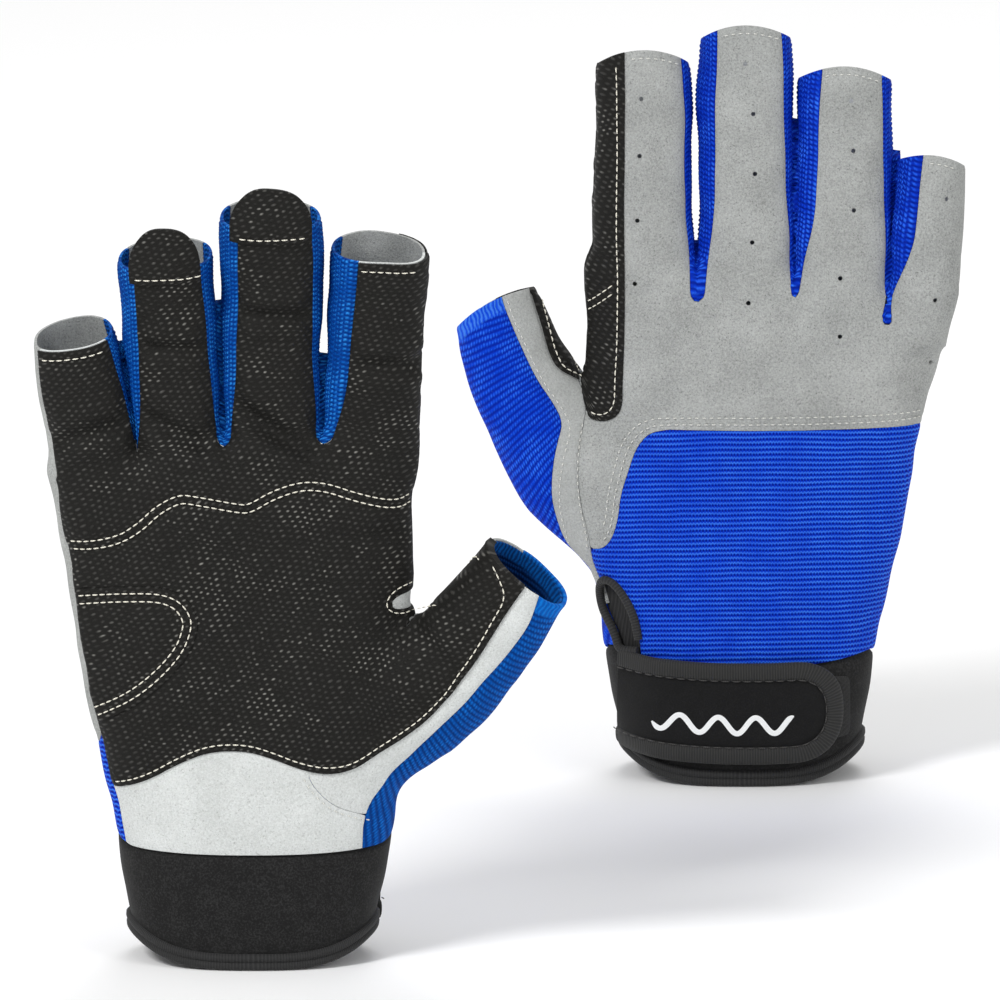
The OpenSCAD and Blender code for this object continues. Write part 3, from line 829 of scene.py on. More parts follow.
# creases: finger, ends, depth, width; dents: ends, depth, width
CREASES = [(RING, [(-33, 174), (-16, 174)], 1.1, 1.8), (RING, [(-31, 155), (-15, 147)], 1.2, 2.4),
           (MIDDLE, [(-4, 183.5), (15, 183.5)], 1.2, 1.8), (MIDDLE, [(-5, 158), (14, 145)], 1.6, 2.6),
           (INDEX, [(24, 169), (46, 169.5)], 1.1, 2.0), (PINKY, [(-57, 146), (-34, 153)], 1.2, 2.4)]
DENTS = [([(52, 76), (30, 66)], 1.0, 3.0), ([(-50, 112), (40, 122)], 0.5, 4.0),
         ([(-20, 66), (14, 76)], 0.5, 4.0), ([(46, 96), (60, 84)], 0.9, 2.4)]


def ripple(p, size, seed):
    """Smooth, repeatable unevenness between -1 and 1."""
    q = p / size + seed
    a = np.sin(q[:, 0] * 1.9 + 1.3 * np.sin(q[:, 2] * 1.3 + seed))
    b = np.sin(q[:, 2] * 1.6 + 1.1 * np.sin(q[:, 0] * 1.7 + 2 * seed) + q[:, 1] * 0.8)
    return 0.5 * (a + b)


def relief(w):
    """How far the worn, padded fabric stands out from the plain shape, in mm."""
    front = smoothstep(0.5 + w.front / 6)
    h = 0.5 * ripple(w.p, 11, 1.7) + 0.22 * ripple(w.p, 4.6, 4.1)
    on_fingers = smoothstep(-w.v / 5) * smoothstep((w.z - 136) / 8) * smoothstep(w.palm_side / 4)
    for k, ends, depth, wide in CREASES:
        d = np.hypot(*from_segment(w.x, w.z, *ends, -0.1, 1.1))
        fold = gauss(d, wide) - 0.45 * gauss(d - 2.4 * wide, 1.6 * wide)
        h -= 1.5 * depth * fold * on_fingers * (w.k == k)
    for ends, depth, wide in DENTS:
        h -= front * depth * gauss(np.hypot(*from_segment(*w.palm, *ends)), wide)
    h *= smoothstep((w.z - 36) / 12)
    h -= 0.5 * gauss(line_side(*w.palm, LINES["wave"]) + 1.0, 2.4) * front * (w.thumb < 0.5)
    h -= 0.45 * gauss(w.hand, 1.4) * (w.z < 150)
    h -= 0.3 * gauss(w.blue, 1.2) * smoothstep(w.thumb * 3)
    side_wall = least(-w.palm_side, -w.back_side)
    h -= 1.1 * gauss(w.between, 1.0) * smoothstep(side_wall / 3) * smoothstep((w.z - 141) / 6)
    return h + smoothstep(inside(*w.palm, AREAS["heel"]) / 7) * front


# ---------------------------------------------------------------- building the panels


class Sheet:
    """A glove's whole skin as a fine mesh, open at the cuff, the fingertips and the thumb."""

    def __init__(self, glove):
        p, t = surface_nets(glove.field, (-68, -32, 24), (96, 34, 232), GRID)
        p = relax(glove, glove.snap(p, 2), t, 2)
        w = Where(glove, p)
        above_cuff = w.z - cuff_top(w.x, w.y) - 0.1
        p, t = clip(p, t, least(w.rim, above_cuff))
        self.glove, self.p, self.t = glove, p, t
        self.where = Where(glove, p)

    def cut(self, area, side):
        """The part of the skin where area is positive, on one side of the knuckle line."""
        value = area(self.where) - GAP
        if side:
            value = least(value, side * (self.p[:, 2] - FINGERS_FROM))
        return clip(self.p, self.t, value)


def refine(glove, points, tris, chosen=None):
    """Splits all or some triangles into four, and neighbours to match; new points lie on the surface."""
    edges, which, _ = mesh_edges(tris)
    marked = np.full(len(edges), chosen is None)
    if chosen is not None:
        marked[which[:, chosen].ravel()] = True
    number = np.cumsum(marked) - 1 + len(points)
    mid = (points[edges[marked, 0]] + points[edges[marked, 1]]) / 2
    points = np.concatenate([points, glove.snap(mid, 1)])
    m = marked[which]
    count = m.sum(0)
    out = [tris[count == 0]]
    for turn in range(3):
        a, b, c = (tris[:, (turn + i) % 3] for i in range(3))
        ab, bc, ca = (number[which[(turn + i) % 3]] for i in range(3))
        one = (count == 1) & m[turn]
        two = (count == 2) & m[turn] & m[(turn + 1) % 3]
        out += [np.stack(q, 1)[one] for q in ((a, ab, c), (ab, b, c))]
        out += [np.stack(q, 1)[two] for q in ((ab, b, bc), (a, ab, bc), (a, bc, c))]
        if turn == 0:
            four = count == 3
            out += [np.stack(q, 1)[four] for q in ((a, ab, ca), (ab, b, bc), (ca, bc, c), (ab, bc, ca))]
    return points, np.concatenate(out)


def edge_distance(points, tris, w):
    """Distance from the border, leaving out the borders where one skin runs on in the next piece."""
    e = border_edges(tris)
    joined = np.minimum(np.abs(points[:, 2] - FINGERS_FROM), 4 * np.abs(w.thumb_end)) < 0.1
    e = e[~joined[e].all(1)]
    samples = np.concatenate([points[e[:, 0]] * (1 - t) + points[e[:, 1]] * t for t in (0, 0.34, 0.67)])
    tree = kdtree.KDTree(len(samples))
    for i, q in enumerate(samples):
        tree.insert(q, i)
    tree.balance()
    return np.array([tree.find(q)[2] for q in points])


def piece(glove, name, points, faces, finish, nodes, move, data, sharp=55):
    """Makes an object and hands it to the frame: what it stands for, and which bodies it follows.

    A piece that crosses a fold is blended between the bodies on the two sides of it.
    """
    material, slot = finish
    obj = make_object(name, glove.world(points), faces, material, data, sharp)
    obj.name = glove.name + "_" + name
    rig.slot(obj, slot)
    if nodes:
        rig.replaces(obj, *[glove.name + "_" + n for n in nodes])
    hand, other = glove.name + "_hand", glove.name + "_" + move
    if move == "hand":
        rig.ride(obj, hand)
    elif move == "strap_only":
        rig.ride(obj, glove.name + "_strap")
    else:
        ends = [(0, -4, 122), (0, -4, 150)] if move == "fingers" else [(36, 12, 22), (24, 12, 22)]
        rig.blend(obj, hand, other, *[Vector(glove.world(np.array(end))) for end in ends])


# air holes in the suede: down the index, middle, ring and little finger, and on the hand
HOLES = [(28.6, 195.2), (29.1, 179.2), (29.7, 161), (30.5, 143),
         (-0.8, 205), (-3.1, 191), (-3.6, 174.2), (-2.8, 154.8), (-1.7, 138),
         (-30.8, 194.6), (-31.4, 180.6), (-31.6, 163.8), (-27.7, 144.5), (-27.7, 128.4),
         (-58, 166.7), (-54.7, 138)]
HAND_HOLES = [(-53.6, 119.3)]
HOLE_RADIUS = 0.65


def panel(sheet, name, nodes, finish, move, lift=-1.0, thick=1.0, fine=0, edge=0.3, seam=0.0, holes=(),
          pattern=None, fold=0.0):
    """One closed piece of fabric or leather cut from the skin.

    lift is how far its underside stands off the skin; edge, how much its border is rounded off;
    seam, the dip along its stitching; fold, how far it turns in over the thumb's rim.
    """
    glove = sheet.glove
    area, side = PANELS[name]
    p, t = sheet.cut(area, side)
    for _ in range(fine):
        p, t = refine(glove, p, t)
    if holes:
        at = lift_points(glove, np.array(holes, float), "back")
        to_hole = lambda points: np.min([np.linalg.norm(points - q, axis=1) for q in at], axis=0)
        for reach in (3.0, 1.9):
            p, t = refine(glove, p, t, to_hole(p[t].mean(1)) < reach)
        p, t = clip(p, t, to_hole(p) - HOLE_RADIUS)
    w = Where(glove, p)
    n = glove.normals(p)
    h = relief(w)
    d = edge_distance(p, t, w)
    outer = lift + thick + h - edge * np.exp(-d / 0.55)
    if seam:
        outer -= seam * gauss(d - 2.0, 0.8)
    extra, pat = (pattern or plain_pattern)(w, d)
    inner = lift + h - fold * smoothstep(1.4 - w.rim / 1.2) * (w.thumb > 0.5)
    q, faces = closed_sheet(p, t, n, outer + extra, inner)
    data = {"rest": np.concatenate([p, p]), "pat": np.concatenate([pat, pat])}
    piece(glove, name, q, faces, finish, nodes, move, data)


# A pattern gives the ribs' height at each point, and the coordinates that its finish is drawn in.


# the third part, front, tells the suede where its painted shade falls
def plain_pattern(w, d):
    return 0, np.stack([w.x, w.z, w.front], 1)


def leather_pattern(w, d):
    """Pattern lines run along the hand, and along each finger."""
    on = smoothstep((w.z - 138) / 20)[:, None] * (w.thumb < 0.5)[:, None]
    base = np.array([finger[0] for finger in w.glove.fingers])[w.k]
    flat = mix(np.stack(w.palm, 1), np.stack([w.u + base, FINGER_BASE + w.s * w.reach], 1), on)
    return 0, np.column_stack([flat, d])


def stretch_pattern(w, d):
    """Ribs sag a little in the middle of the hand."""
    return 0, np.stack([w.z + 0.001 * (w.x + 8) ** 2, w.x, d], 1)


def thumb_pattern(w, d):
    """Ribs go across the thumb and fan out towards the hand."""
    thumb_length = 62.0
    along = w.ts * thumb_length + w.tu * 0.25 * (1 - np.clip(w.ts, 0, 1))
    return 0.35 * gauss(w.rim, 1.5), np.stack([along, w.tu, w.rim], 1)


def gusset_pattern(w, d):
    """Ribs go across the walls between the fingers."""
    along = w.s * w.reach + 0.25 * np.abs(w.v)
    ribs = 0.22 * np.sin(2 * np.pi * along / KNIT_PITCH) * smoothstep((d - 0.6) / 1.5)
    return ribs, np.stack([along, w.v, d], 1)


def lift_points(glove, flat, side):
    """Points of a front or back drawing, brought onto this glove's surface."""
    ref, sign = (GLOVES[0], -1) if side == "palm" else (GLOVES[1], 1)
    outside, steps = 34.0, 45
    p = np.stack([flat[:, 0], np.full(len(flat), sign * outside), flat[:, 1]], 1)
    for _ in range(steps):
        p[:, 1] -= sign * np.clip(ref.field(p), -1, 3) * 0.85
    if glove is not ref:
        w = Where(ref, p)
        _, out, back = glove.thumb.frame(w.ts)
        wide = glove.thumb.width(w.ts) / ref.thumb.width(w.ts)
        deep = glove.thumb.depth(w.ts) / ref.thumb.depth(w.ts)
        q = glove.thumb.centre(w.ts) + out * (w.tu * wide)[:, None] + back * (w.tv * deep)[:, None]
        p = mix(p, q, w.thumb[:, None])
        p = glove.snap(p, 3)
    return p


def lift_line(glove, line, side, step=0.6, facing=0.3):
    """The part of a drawn line that lands well on the surface, away from rims and silhouettes."""
    p = lift_points(glove, resample(line, step), side)
    facing = np.abs(glove.normals(p)[:, 1]) > facing
    w = Where(glove, p)
    leather = (w.front > 1.6) | (w.thumb > 0.5) | (side == "back")
    return p[(np.abs(glove.field(p)) < 0.4) & facing & (w.rim > 1.0) & leather]


def finger_bulge(share):
    """How far a finger stands out at this share of its half width."""
    return FINGER_DEPTH * (1 - share**FINGER_FULLNESS) ** (1 / FINGER_FULLNESS)


def finger_line(glove, k, down, u0, u1, sign):
    """A line across a finger, some way down from its rim, on its front (-1) or back (+1)."""
    u = np.linspace(u0, u1, 40)
    s = 1 - (down + glove.tip * u * u) / glove.reach(k)
    _, across, back = glove.finger_frame(k, s)
    v = sign * finger_bulge(np.abs(u / glove.finger_half(k, s)))
    return glove.snap(glove.finger_centre(k, s) + across * u[:, None] + back * v[:, None], 2)


def thread(path, normal, lift, pitch, length, radius):
    """Stitches along a path: each a short, plump length of thread that dips in at its ends."""
    steps = lengths(path)
    start = np.arange(pitch * 0.2, steps[-1] - length, pitch)
    rings, sides = 7, 6
    u = np.linspace(0, 1, rings)
    at = (start[:, None] + length * u).ravel()
    pos = np.stack([np.interp(at, steps, path[:, i]) for i in range(3)], 1)
    nor = np.stack([np.interp(at, steps, normal[:, i]) for i in range(3)], 1)
    up = np.interp(at, steps, lift)
    tangent = unit(np.stack([np.interp(at, steps, np.gradient(path[:, i])) for i in range(3)], 1))
    nor = unit(nor)
    cross = np.cross(tangent, nor)
    bow = np.tile(np.sin(np.pi * np.clip(u, 0.02, 0.98)) ** 0.45, len(start))
    centre = pos + nor * (up + 0.24 * bow - 0.12)[:, None]
    a = np.linspace(0, 2 * np.pi, sides, endpoint=False)
    r = (radius * bow)[:, None, None]
    pts = centre[:, None] + r * (cross[:, None] * np.cos(a)[:, None] + nor[:, None] * np.sin(a)[:, None])
    n, i, j = np.meshgrid(np.arange(len(start)), np.arange(rings - 1), np.arange(sides), indexing="ij")
    here = (n * rings + i) * sides
    quads = np.stack([here + j, here + (j + 1) % sides, here + sides + (j + 1) % sides, here + sides + j], -1)
    quads = quads.reshape(-1, 4)
    tris = [quads[:, :3], quads[:, [0, 2, 3]]]
    for k in range(len(start)):
        first, last = k * rings * sides, (k * rings + rings - 1) * sides
        for m in range(1, sides - 1):
            tris.append(np.array([[first, first + m + 1, first + m], [last, last + m, last + m + 1]]))
    turn = np.stack([np.repeat(at, sides), np.tile(a * radius, len(at)), np.zeros(len(at) * sides)], 1)
    return pts.reshape(-1, 3), np.concatenate(tris)[:, ::-1], turn


def stitches(glove, name, runs, finish, move, gauge):
    """One piece holding several runs of stitches. A run is (path on the surface, height above it)."""
    pts, tris, pats, total = [], [], [], 0
    for path, height in runs:
        if len(path) < 4:
            continue
        w = Where(glove, path)
        p, t, turn = thread(path, glove.normals(path), height + relief(w), *gauge)
        pts.append(p)
        pats.append(turn)
        tris.append(t + total)
        total += len(p)
    data = {"pat": np.concatenate(pats)}
    piece(glove, name, np.concatenate(pts), np.concatenate(tris), finish, [], move, data, 80)


# ---------------------------------------------------------------- cuff, hem, strap and slit


def cuff_top(x, y):
    """Height of the cuff's upper edge, lower on the palm side, rising at the sides of the back."""
    back = smoothstep(0.5 + y / 24)
    return mix(32.4, 34.2, back) + mix(0.6, 2.6, back) * np.clip(np.abs(x + 3) / 33, 0, 1.2) ** 2.4


def section(t, z, off):
    """A point on the outline of the hand at angle t and height z, moved outwards by off."""
    c, s = np.cos(t), np.sin(t)
    lo, hi = pinky_edge(z), thumb_edge(z)
    a, b = (hi - lo) / 2, half_depth(z)
    ux, uy = np.sign(c) * np.abs(c) ** (2 / FULLNESS), np.sign(s) * np.abs(s) ** (2 / FULLNESS)
    nx, ny = np.sign(ux) * np.abs(ux) ** (FULLNESS - 1) / a, np.sign(uy) * np.abs(uy) ** (FULLNESS - 1) / b
    n = np.hypot(nx, ny) + 1e-12
    return np.stack([(lo + hi) / 2 + a * ux + off * nx / n, b * uy + off * ny / n, z + 0 * t], -1)


def back_point(x, z, off):
    """A point on the back of the cuff at x and z, moved outwards by off."""
    lo, hi = pinky_edge(z), thumb_edge(z)
    u = np.clip((x - (lo + hi) / 2) / ((hi - lo) / 2), -0.995, 0.995)
    c = np.sign(u) * np.abs(u) ** (FULLNESS / 2)
    return section(np.arccos(c), z, off)


def grid_faces(n, m, wrap=False, tube=False):
    """Quads of n rows of m points; wrap joins the last row to the first, and tube each row to itself."""
    i, j = np.meshgrid(np.arange(n if wrap else n - 1), np.arange(m if tube else m - 1), indexing="ij")
    a, b, step = i * m, (i + 1) % n * m, (j + 1) % m
    return np.stack([a + j, b + j, b + step, a + step], -1).reshape(-1, 4)


def tube_ends(n, m):
    """Quads that close the two ends of a tube of n rings of m points."""
    return [np.array([[s, s + 2 * k + 1, s + 2 * k + 2, s + 2 * k + 3]])
            for s in (0, (n - 1) * m) for k in range((m - 2) // 2)]


def slab(outer, inner, wrap=False):
    """Closed solid between two grids of points."""
    n, m = outer.shape[:2]
    top = grid_faces(n, m, wrap)
    low = top[:, ::-1] + n * m
    steps = np.arange(n if wrap else n - 1)
    nxt = (steps + 1) % n
    under = n * m
    walls = [np.stack([a, b, b + under, a + under], 1)[:, ::k]
             for a, b, k in ((steps * m, nxt * m, -1), (steps * m + m - 1, nxt * m + m - 1, 1))]
    if not wrap:
        js = np.arange(m - 1)
        walls += [np.stack([a, a + 1, a + 1 + under, a + under], 1)[:, ::k]
                  for a, k in ((js, 1), ((n - 1) * m + js, -1))]
    return np.concatenate([outer.reshape(-1, 3), inner.reshape(-1, 3)]), np.concatenate([top, low, *walls])


def outward(points, faces):
    """Turns all faces so that they look outwards."""
    a, b, c, d = (points[faces[:, i]] for i in (0, 1, 2, -1))
    volume = (np.cross(b - a, c - a) * a).sum() + (np.cross(c - a, d - a) * a).sum()
    return faces if volume > 0 else faces[:, ::-1]


def solid(glove, name, points, faces, finish, nodes, move, pat=None, sharp=50):
    data = {"rest": points, "pat": points if pat is None else pat}
    piece(glove, name, points, outward(points, faces), finish, nodes, move, data, sharp)


def rod(path, normal, radius, sides):
    """A round cord along a path."""
    tangent = unit(np.gradient(path, axis=0))
    normal = unit(normal - (normal * tangent).sum(1)[:, None] * tangent)
    cross = np.cross(tangent, normal)
    a = np.linspace(0, 2 * np.pi, sides, endpoint=False)
    ring = cross[:, None] * np.cos(a)[:, None] + normal[:, None] * np.sin(a)[:, None]
    faces = grid_faces(len(path), sides, tube=True)[:, [0, 3, 2, 1]]
    points = path[:, None] + radius * ring
    return points.reshape(-1, 3), np.concatenate([faces, *tube_ends(len(path), sides)])


def hem_height(t):
    """The hem's lower edge rises at the two sides of the wrist."""
    return 8 * np.abs(np.cos(t)) ** 3


def cuff(glove, mats):
    t = np.linspace(0, 2 * np.pi, 220, endpoint=False)[:, None]
    h = np.linspace(0, 1, 26)[None]
    low = hem_height(t) + 4.2
    flat = section(t, 30 + 0 * t, 0)
    z = low + (cuff_top(flat[..., 0], flat[..., 1]) - low) * h
    puff = 0.7 * np.sin(np.pi * h) ** 0.6 - 1.0 * np.exp(-(1 - h) / 0.03)
    puff = puff + 0.3 * ripple(section(t, z, 0).reshape(-1, 3), 7, 3.3).reshape(z.shape) * np.sin(np.pi * h)
    p, f = slab(section(t, z, puff - 0.3), section(t, z, puff - 2.6), True)
    solid(glove, "cuff", p, f, mats["neoprene"], ["cuff"], "hand")


# section of the double-rolled hem: distance outwards and height
HEM = [(-0.4, 0.1), (0.5, 0.15), (1.05, 0.7), (1.1, 1.4), (0.75, 2.0), (0.5, 2.3), (0.8, 2.6), (1.1, 3.2),
       (1.0, 3.9), (0.4, 4.5), (-0.6, 4.7), (-2.4, 4.7), (-3.2, 4.0), (-3.4, 2.4), (-3.0, 0.8), (-2.0, 0.1)]


def hem(glove, mats):
    n, m, girth = 240, len(HEM), 36
    t = np.linspace(0, 2 * np.pi, n, endpoint=False)
    rings = np.stack([section(t, hem_height(t) + up, np.full(n, out)) for out, up in HEM], 1)
    around = np.repeat(t * girth, m)
    pat = np.stack([around, np.tile(np.arange(m), n), 0 * around], 1)
    solid(glove, "cuff_binding", rings.reshape(-1, 3), grid_faces(n, m, True, True), mats["tape"],
          ["cuff_binding"], "hand", pat, 80)


STRAP_MID, STRAP_HALF, STRAP_ROOT, STRAP_END, STRAP_ROUND = 21.6, 14.6, 34.0, -27.0, 13.5


def strap_edge(inset, count=90):
    """Outline of the strap, inset from its edge: x, half height, running from the root to the free end."""
    half, reach = STRAP_HALF - inset, STRAP_ROUND - inset * 0.93
    round_from = STRAP_END + STRAP_ROUND
    a = np.linspace(0, np.pi / 2, count // 2)
    straight = np.linspace(STRAP_ROOT, round_from, count // 2, endpoint=False)
    x = np.concatenate([straight, round_from - reach * np.sin(a) ** 0.82])
    y = np.concatenate([np.full(len(straight), half), half * np.cos(a) ** 0.82])
    return x, np.maximum(y, 0.02)


def strap_loop(inset, count):
    """The strap's outline on the cuff, along one edge, round the free end and back."""
    x, half = strap_edge(inset, count)
    xs = np.concatenate([x, x[-2::-1]])
    return xs, strap_centre(xs) + np.concatenate([half, -half[-2::-1]])


def strap_rise(x):
    """The strap's own height above the hem drops a little in the middle of the wrist."""
    return 1.6 * np.clip((x + 3) / 34, -1, 1.1) ** 2


def strap_centre(x):
    return STRAP_MID + strap_rise(x)


def strap_lift(x):
    """The strap lies over the tapes, and comes down to the cuff at its root."""
    return 1.8 - 1.5 * smoothstep((x - 20) / 13)


def strap_cloth(glove, mats):
    x, half = strap_edge(4.4)
    c = np.linspace(-1, 1, 30)
    xs = np.repeat(x[:, None], 30, 1)
    zs = strap_centre(xs) + half[:, None] * c
    swell = 0.45 * (1 - np.exp(-(1 - np.abs(c)) * half[:, None] / 1.6))
    thinner = 1 - 0.4 * smoothstep((xs - 22) / 11)
    p, f = slab(back_point(xs, zs, strap_lift(xs) + (1.5 + swell) * thinner),
                back_point(xs, zs, strap_lift(xs) + 0.1))
    solid(glove, "strap", p, f, mats["strap"], ["strap"], "strap")


# section of the tape round the strap: distance in from its edge and height
STRAP_TAPE = [(5.0, 0.4), (5.2, 1.3), (4.9, 2.1), (4.2, 2.55), (3.3, 2.7), (2.2, 2.7), (1.2, 2.6),
              (0.45, 2.2), (0.05, 1.5), (0.1, 0.7), (0.6, 0.2), (2.0, 0), (4.0, 0)]


def strap_tape(glove, mats):
    rows = []
    for inset, up in STRAP_TAPE:
        xs, zs = strap_loop(inset, 110)
        thinner = 1 - 0.45 * smoothstep((xs - 22) / 11)
        rows.append(back_point(xs, zs, strap_lift(xs) + up * thinner))
    rows = np.stack(rows, 1)
    n, m = rows.shape[:2]
    pat = np.stack([np.repeat(lengths(rows[:, 3]), m), np.tile([inset for inset, _ in STRAP_TAPE], n),
                    np.zeros(n * m)], 1)
    faces = np.concatenate([grid_faces(n, m, tube=True), *tube_ends(n, m)])
    solid(glove, "strap_binding", rows.reshape(-1, 3), faces, mats["strap_edge"], ["strap_binding"],
          "strap", pat, 70)


def strap_stitches(glove, mats):
    xs, zs = strap_loop(5.0, 160)
    path = back_point(xs, zs, 0)
    normal = back_point(xs, zs, 1) - path
    p, f, turn = thread(path, normal, strap_lift(xs) + 2.2, 3.0, 2.2, 0.2)
    piece(glove, "strap_stitches", p, f, mats["dark_thread"], [], "strap", {"pat": turn}, 80)


def strap_mark(glove, mats):
    """A plain pale wave printed on the strap."""
    n, height, first_crest, pitch = 240, 2.3, 27, 41 / 4
    x = np.linspace(24, -14, n)
    wave = height * np.cos((x - first_crest) * 2 * np.pi / pitch)
    slope = np.gradient(wave, x)
    side = np.stack([-slope, np.ones(n)], 1) / np.hypot(1, slope)[:, None]
    to_end = np.minimum(np.arange(n), n - 1 - np.arange(n))
    wide = 0.75 * np.clip(to_end / 8, 0.1, 1) ** 0.5
    c = np.array([-1, -0.6, 0, 0.6, 1])
    xs = x[:, None] + side[:, :1] * wide[:, None] * c
    zs = 18.4 + (strap_rise(x) + wave)[:, None] + side[:, 1:] * wide[:, None] * c
    p, f = slab(back_point(xs, zs, strap_lift(xs) + 2.12 - 0.05 * np.abs(c) ** 3),
                back_point(xs, zs, strap_lift(xs) + 1.7))
    solid(glove, "strap_mark", p, f, mats["print"], [], "strap")


def fastener(glove, mats, name, x, z, low, high, rough, body):
    """A patch of hook or loop tape between low and high off the cuff, rough on the side that grips."""
    u, v = np.meshgrid(np.linspace(-1, 1, 90), np.linspace(-1, 1, 70), indexing="ij")
    squeeze = 1 - 0.06 * np.abs(u) ** 6 * np.abs(v) ** 6
    xs, zs = ((a + b) / 2 + (b - a) / 2 * share * squeeze for (a, b), share in ((x, u), (z, v)))
    fuzz = 0.12 * np.sin(xs * 4.1) * np.sin(zs * 4.3) * (np.abs(u) < 0.97) * (np.abs(v) < 0.97)
    p, f = slab(back_point(xs, zs, high + fuzz * (rough == "outside")),
                back_point(xs, zs, low + fuzz * (rough == "inside")))
    solid(glove, name, p, f, mats["hook"], [name], body)


def slit(sheet, mats):
    """The slit above the cuff: a round cord along its edge, and a gusset set in below it."""
    glove, step, sides = sheet.glove, 0.8, 12
    above_cuff = AREAS["slit"][AREAS["slit"][:, 1] > 36.5]
    start = np.argmax(np.linalg.norm(np.diff(above_cuff, axis=0), axis=1)) + 1
    path = lift_points(glove, resample(np.roll(above_cuff, -start, axis=0), step), "back")
    average = lambda row: np.convolve(np.pad(row, 2, mode="edge"), np.ones(5) / 5, "valid")
    path = np.stack([average(row) for row in path.T], 1)
    normal = glove.normals(path)
    p, f = rod(path + normal * 0.2, normal, 1.25, sides)
    along = np.repeat(np.arange(len(path)) * step, sides)
    solid(glove, "slit_binding", p, f, mats["tape"], ["slit_binding"], "hand",
          np.stack([along, along * 0, along * 0], 1), 80)
    p, t = clip(sheet.p, sheet.t, sheet.where.slit + 1.2)
    drop = 1.6 + 1.6 * smoothstep(Where(glove, p).slit / 3)
    q, faces = closed_sheet(p, t, glove.normals(p), -drop, -drop - 0.8)
    both = np.concatenate([p, p])
    piece(glove, "slit_gusset", q, faces, mats["tape"], ["slit_gusset"], "hand", {"rest": both, "pat": both})


def pull_tab(glove, k, name, half, rise, mats):
    """A rounded leather tab sewn on below the fingertip's rim; it stands straight up above it."""
    below, n, m = 3.4, 34, 26
    c, h = np.linspace(-1, 1, n)[:, None], np.linspace(0, 1, m)[None]
    top = rise * np.maximum(1 - np.abs(c) ** 2.7 * 0.97, 0) ** 0.5
    u = (half * c * (1 + 0 * h)).ravel()
    over = ((top + below) * h - below).ravel() - glove.tip * u * u
    s = 1 + np.minimum(over, 0.0) / glove.reach(k)
    hw = glove.finger_half(k, s)
    q = np.clip(np.abs(u / hw), 0, 0.98)
    v = finger_bulge(q)
    nu, nv = np.sign(u) * q**1.3 / hw, (v / FINGER_DEPTH) ** 1.3 / FINGER_DEPTH
    size = np.hypot(nu, nv)
    tangent, across, back = glove.finger_frame(k, s)
    above = np.maximum(over, 0)
    up = tangent * 0.35 + np.array([0, 0, 0.65])
    flat = 1 - 0.35 * smoothstep(above / 9)
    faces = []
    for off in (2.1, 1.25):
        roll = off + 0.25 * np.sin(u * 0.3) * above / 6 - 0.3 * (np.abs(u) / half) ** 8
        out = flat * (v + nv / size * roll) + (1 - flat) * (FINGER_DEPTH * 0.86 + roll)
        p = glove.finger_centre(k, s) + across * (u + nu / size * roll)[:, None] - back * out[:, None]
        faces.append((p + up * above[:, None]).reshape(n, m, 3))
    p, f = slab(*faces)
    pat = np.stack([np.tile(u, 2), np.tile(glove.fingers[k][2] + over, 2), np.full(2 * u.size, 3.0)], 1)
    solid(glove, name, p, f, mats["leather"], [name], "fingers", pat, 60)


# ---------------------------------------------------------------- finishes


def colour(r, g, b):
    """Linear colour from 0 to 255 screen values."""
    linear = [((c / 255 + 0.055) / 1.055) ** 2.4 if c > 10 else c / 255 / 12.92 for c in (r, g, b)]
    return (*linear, 1)


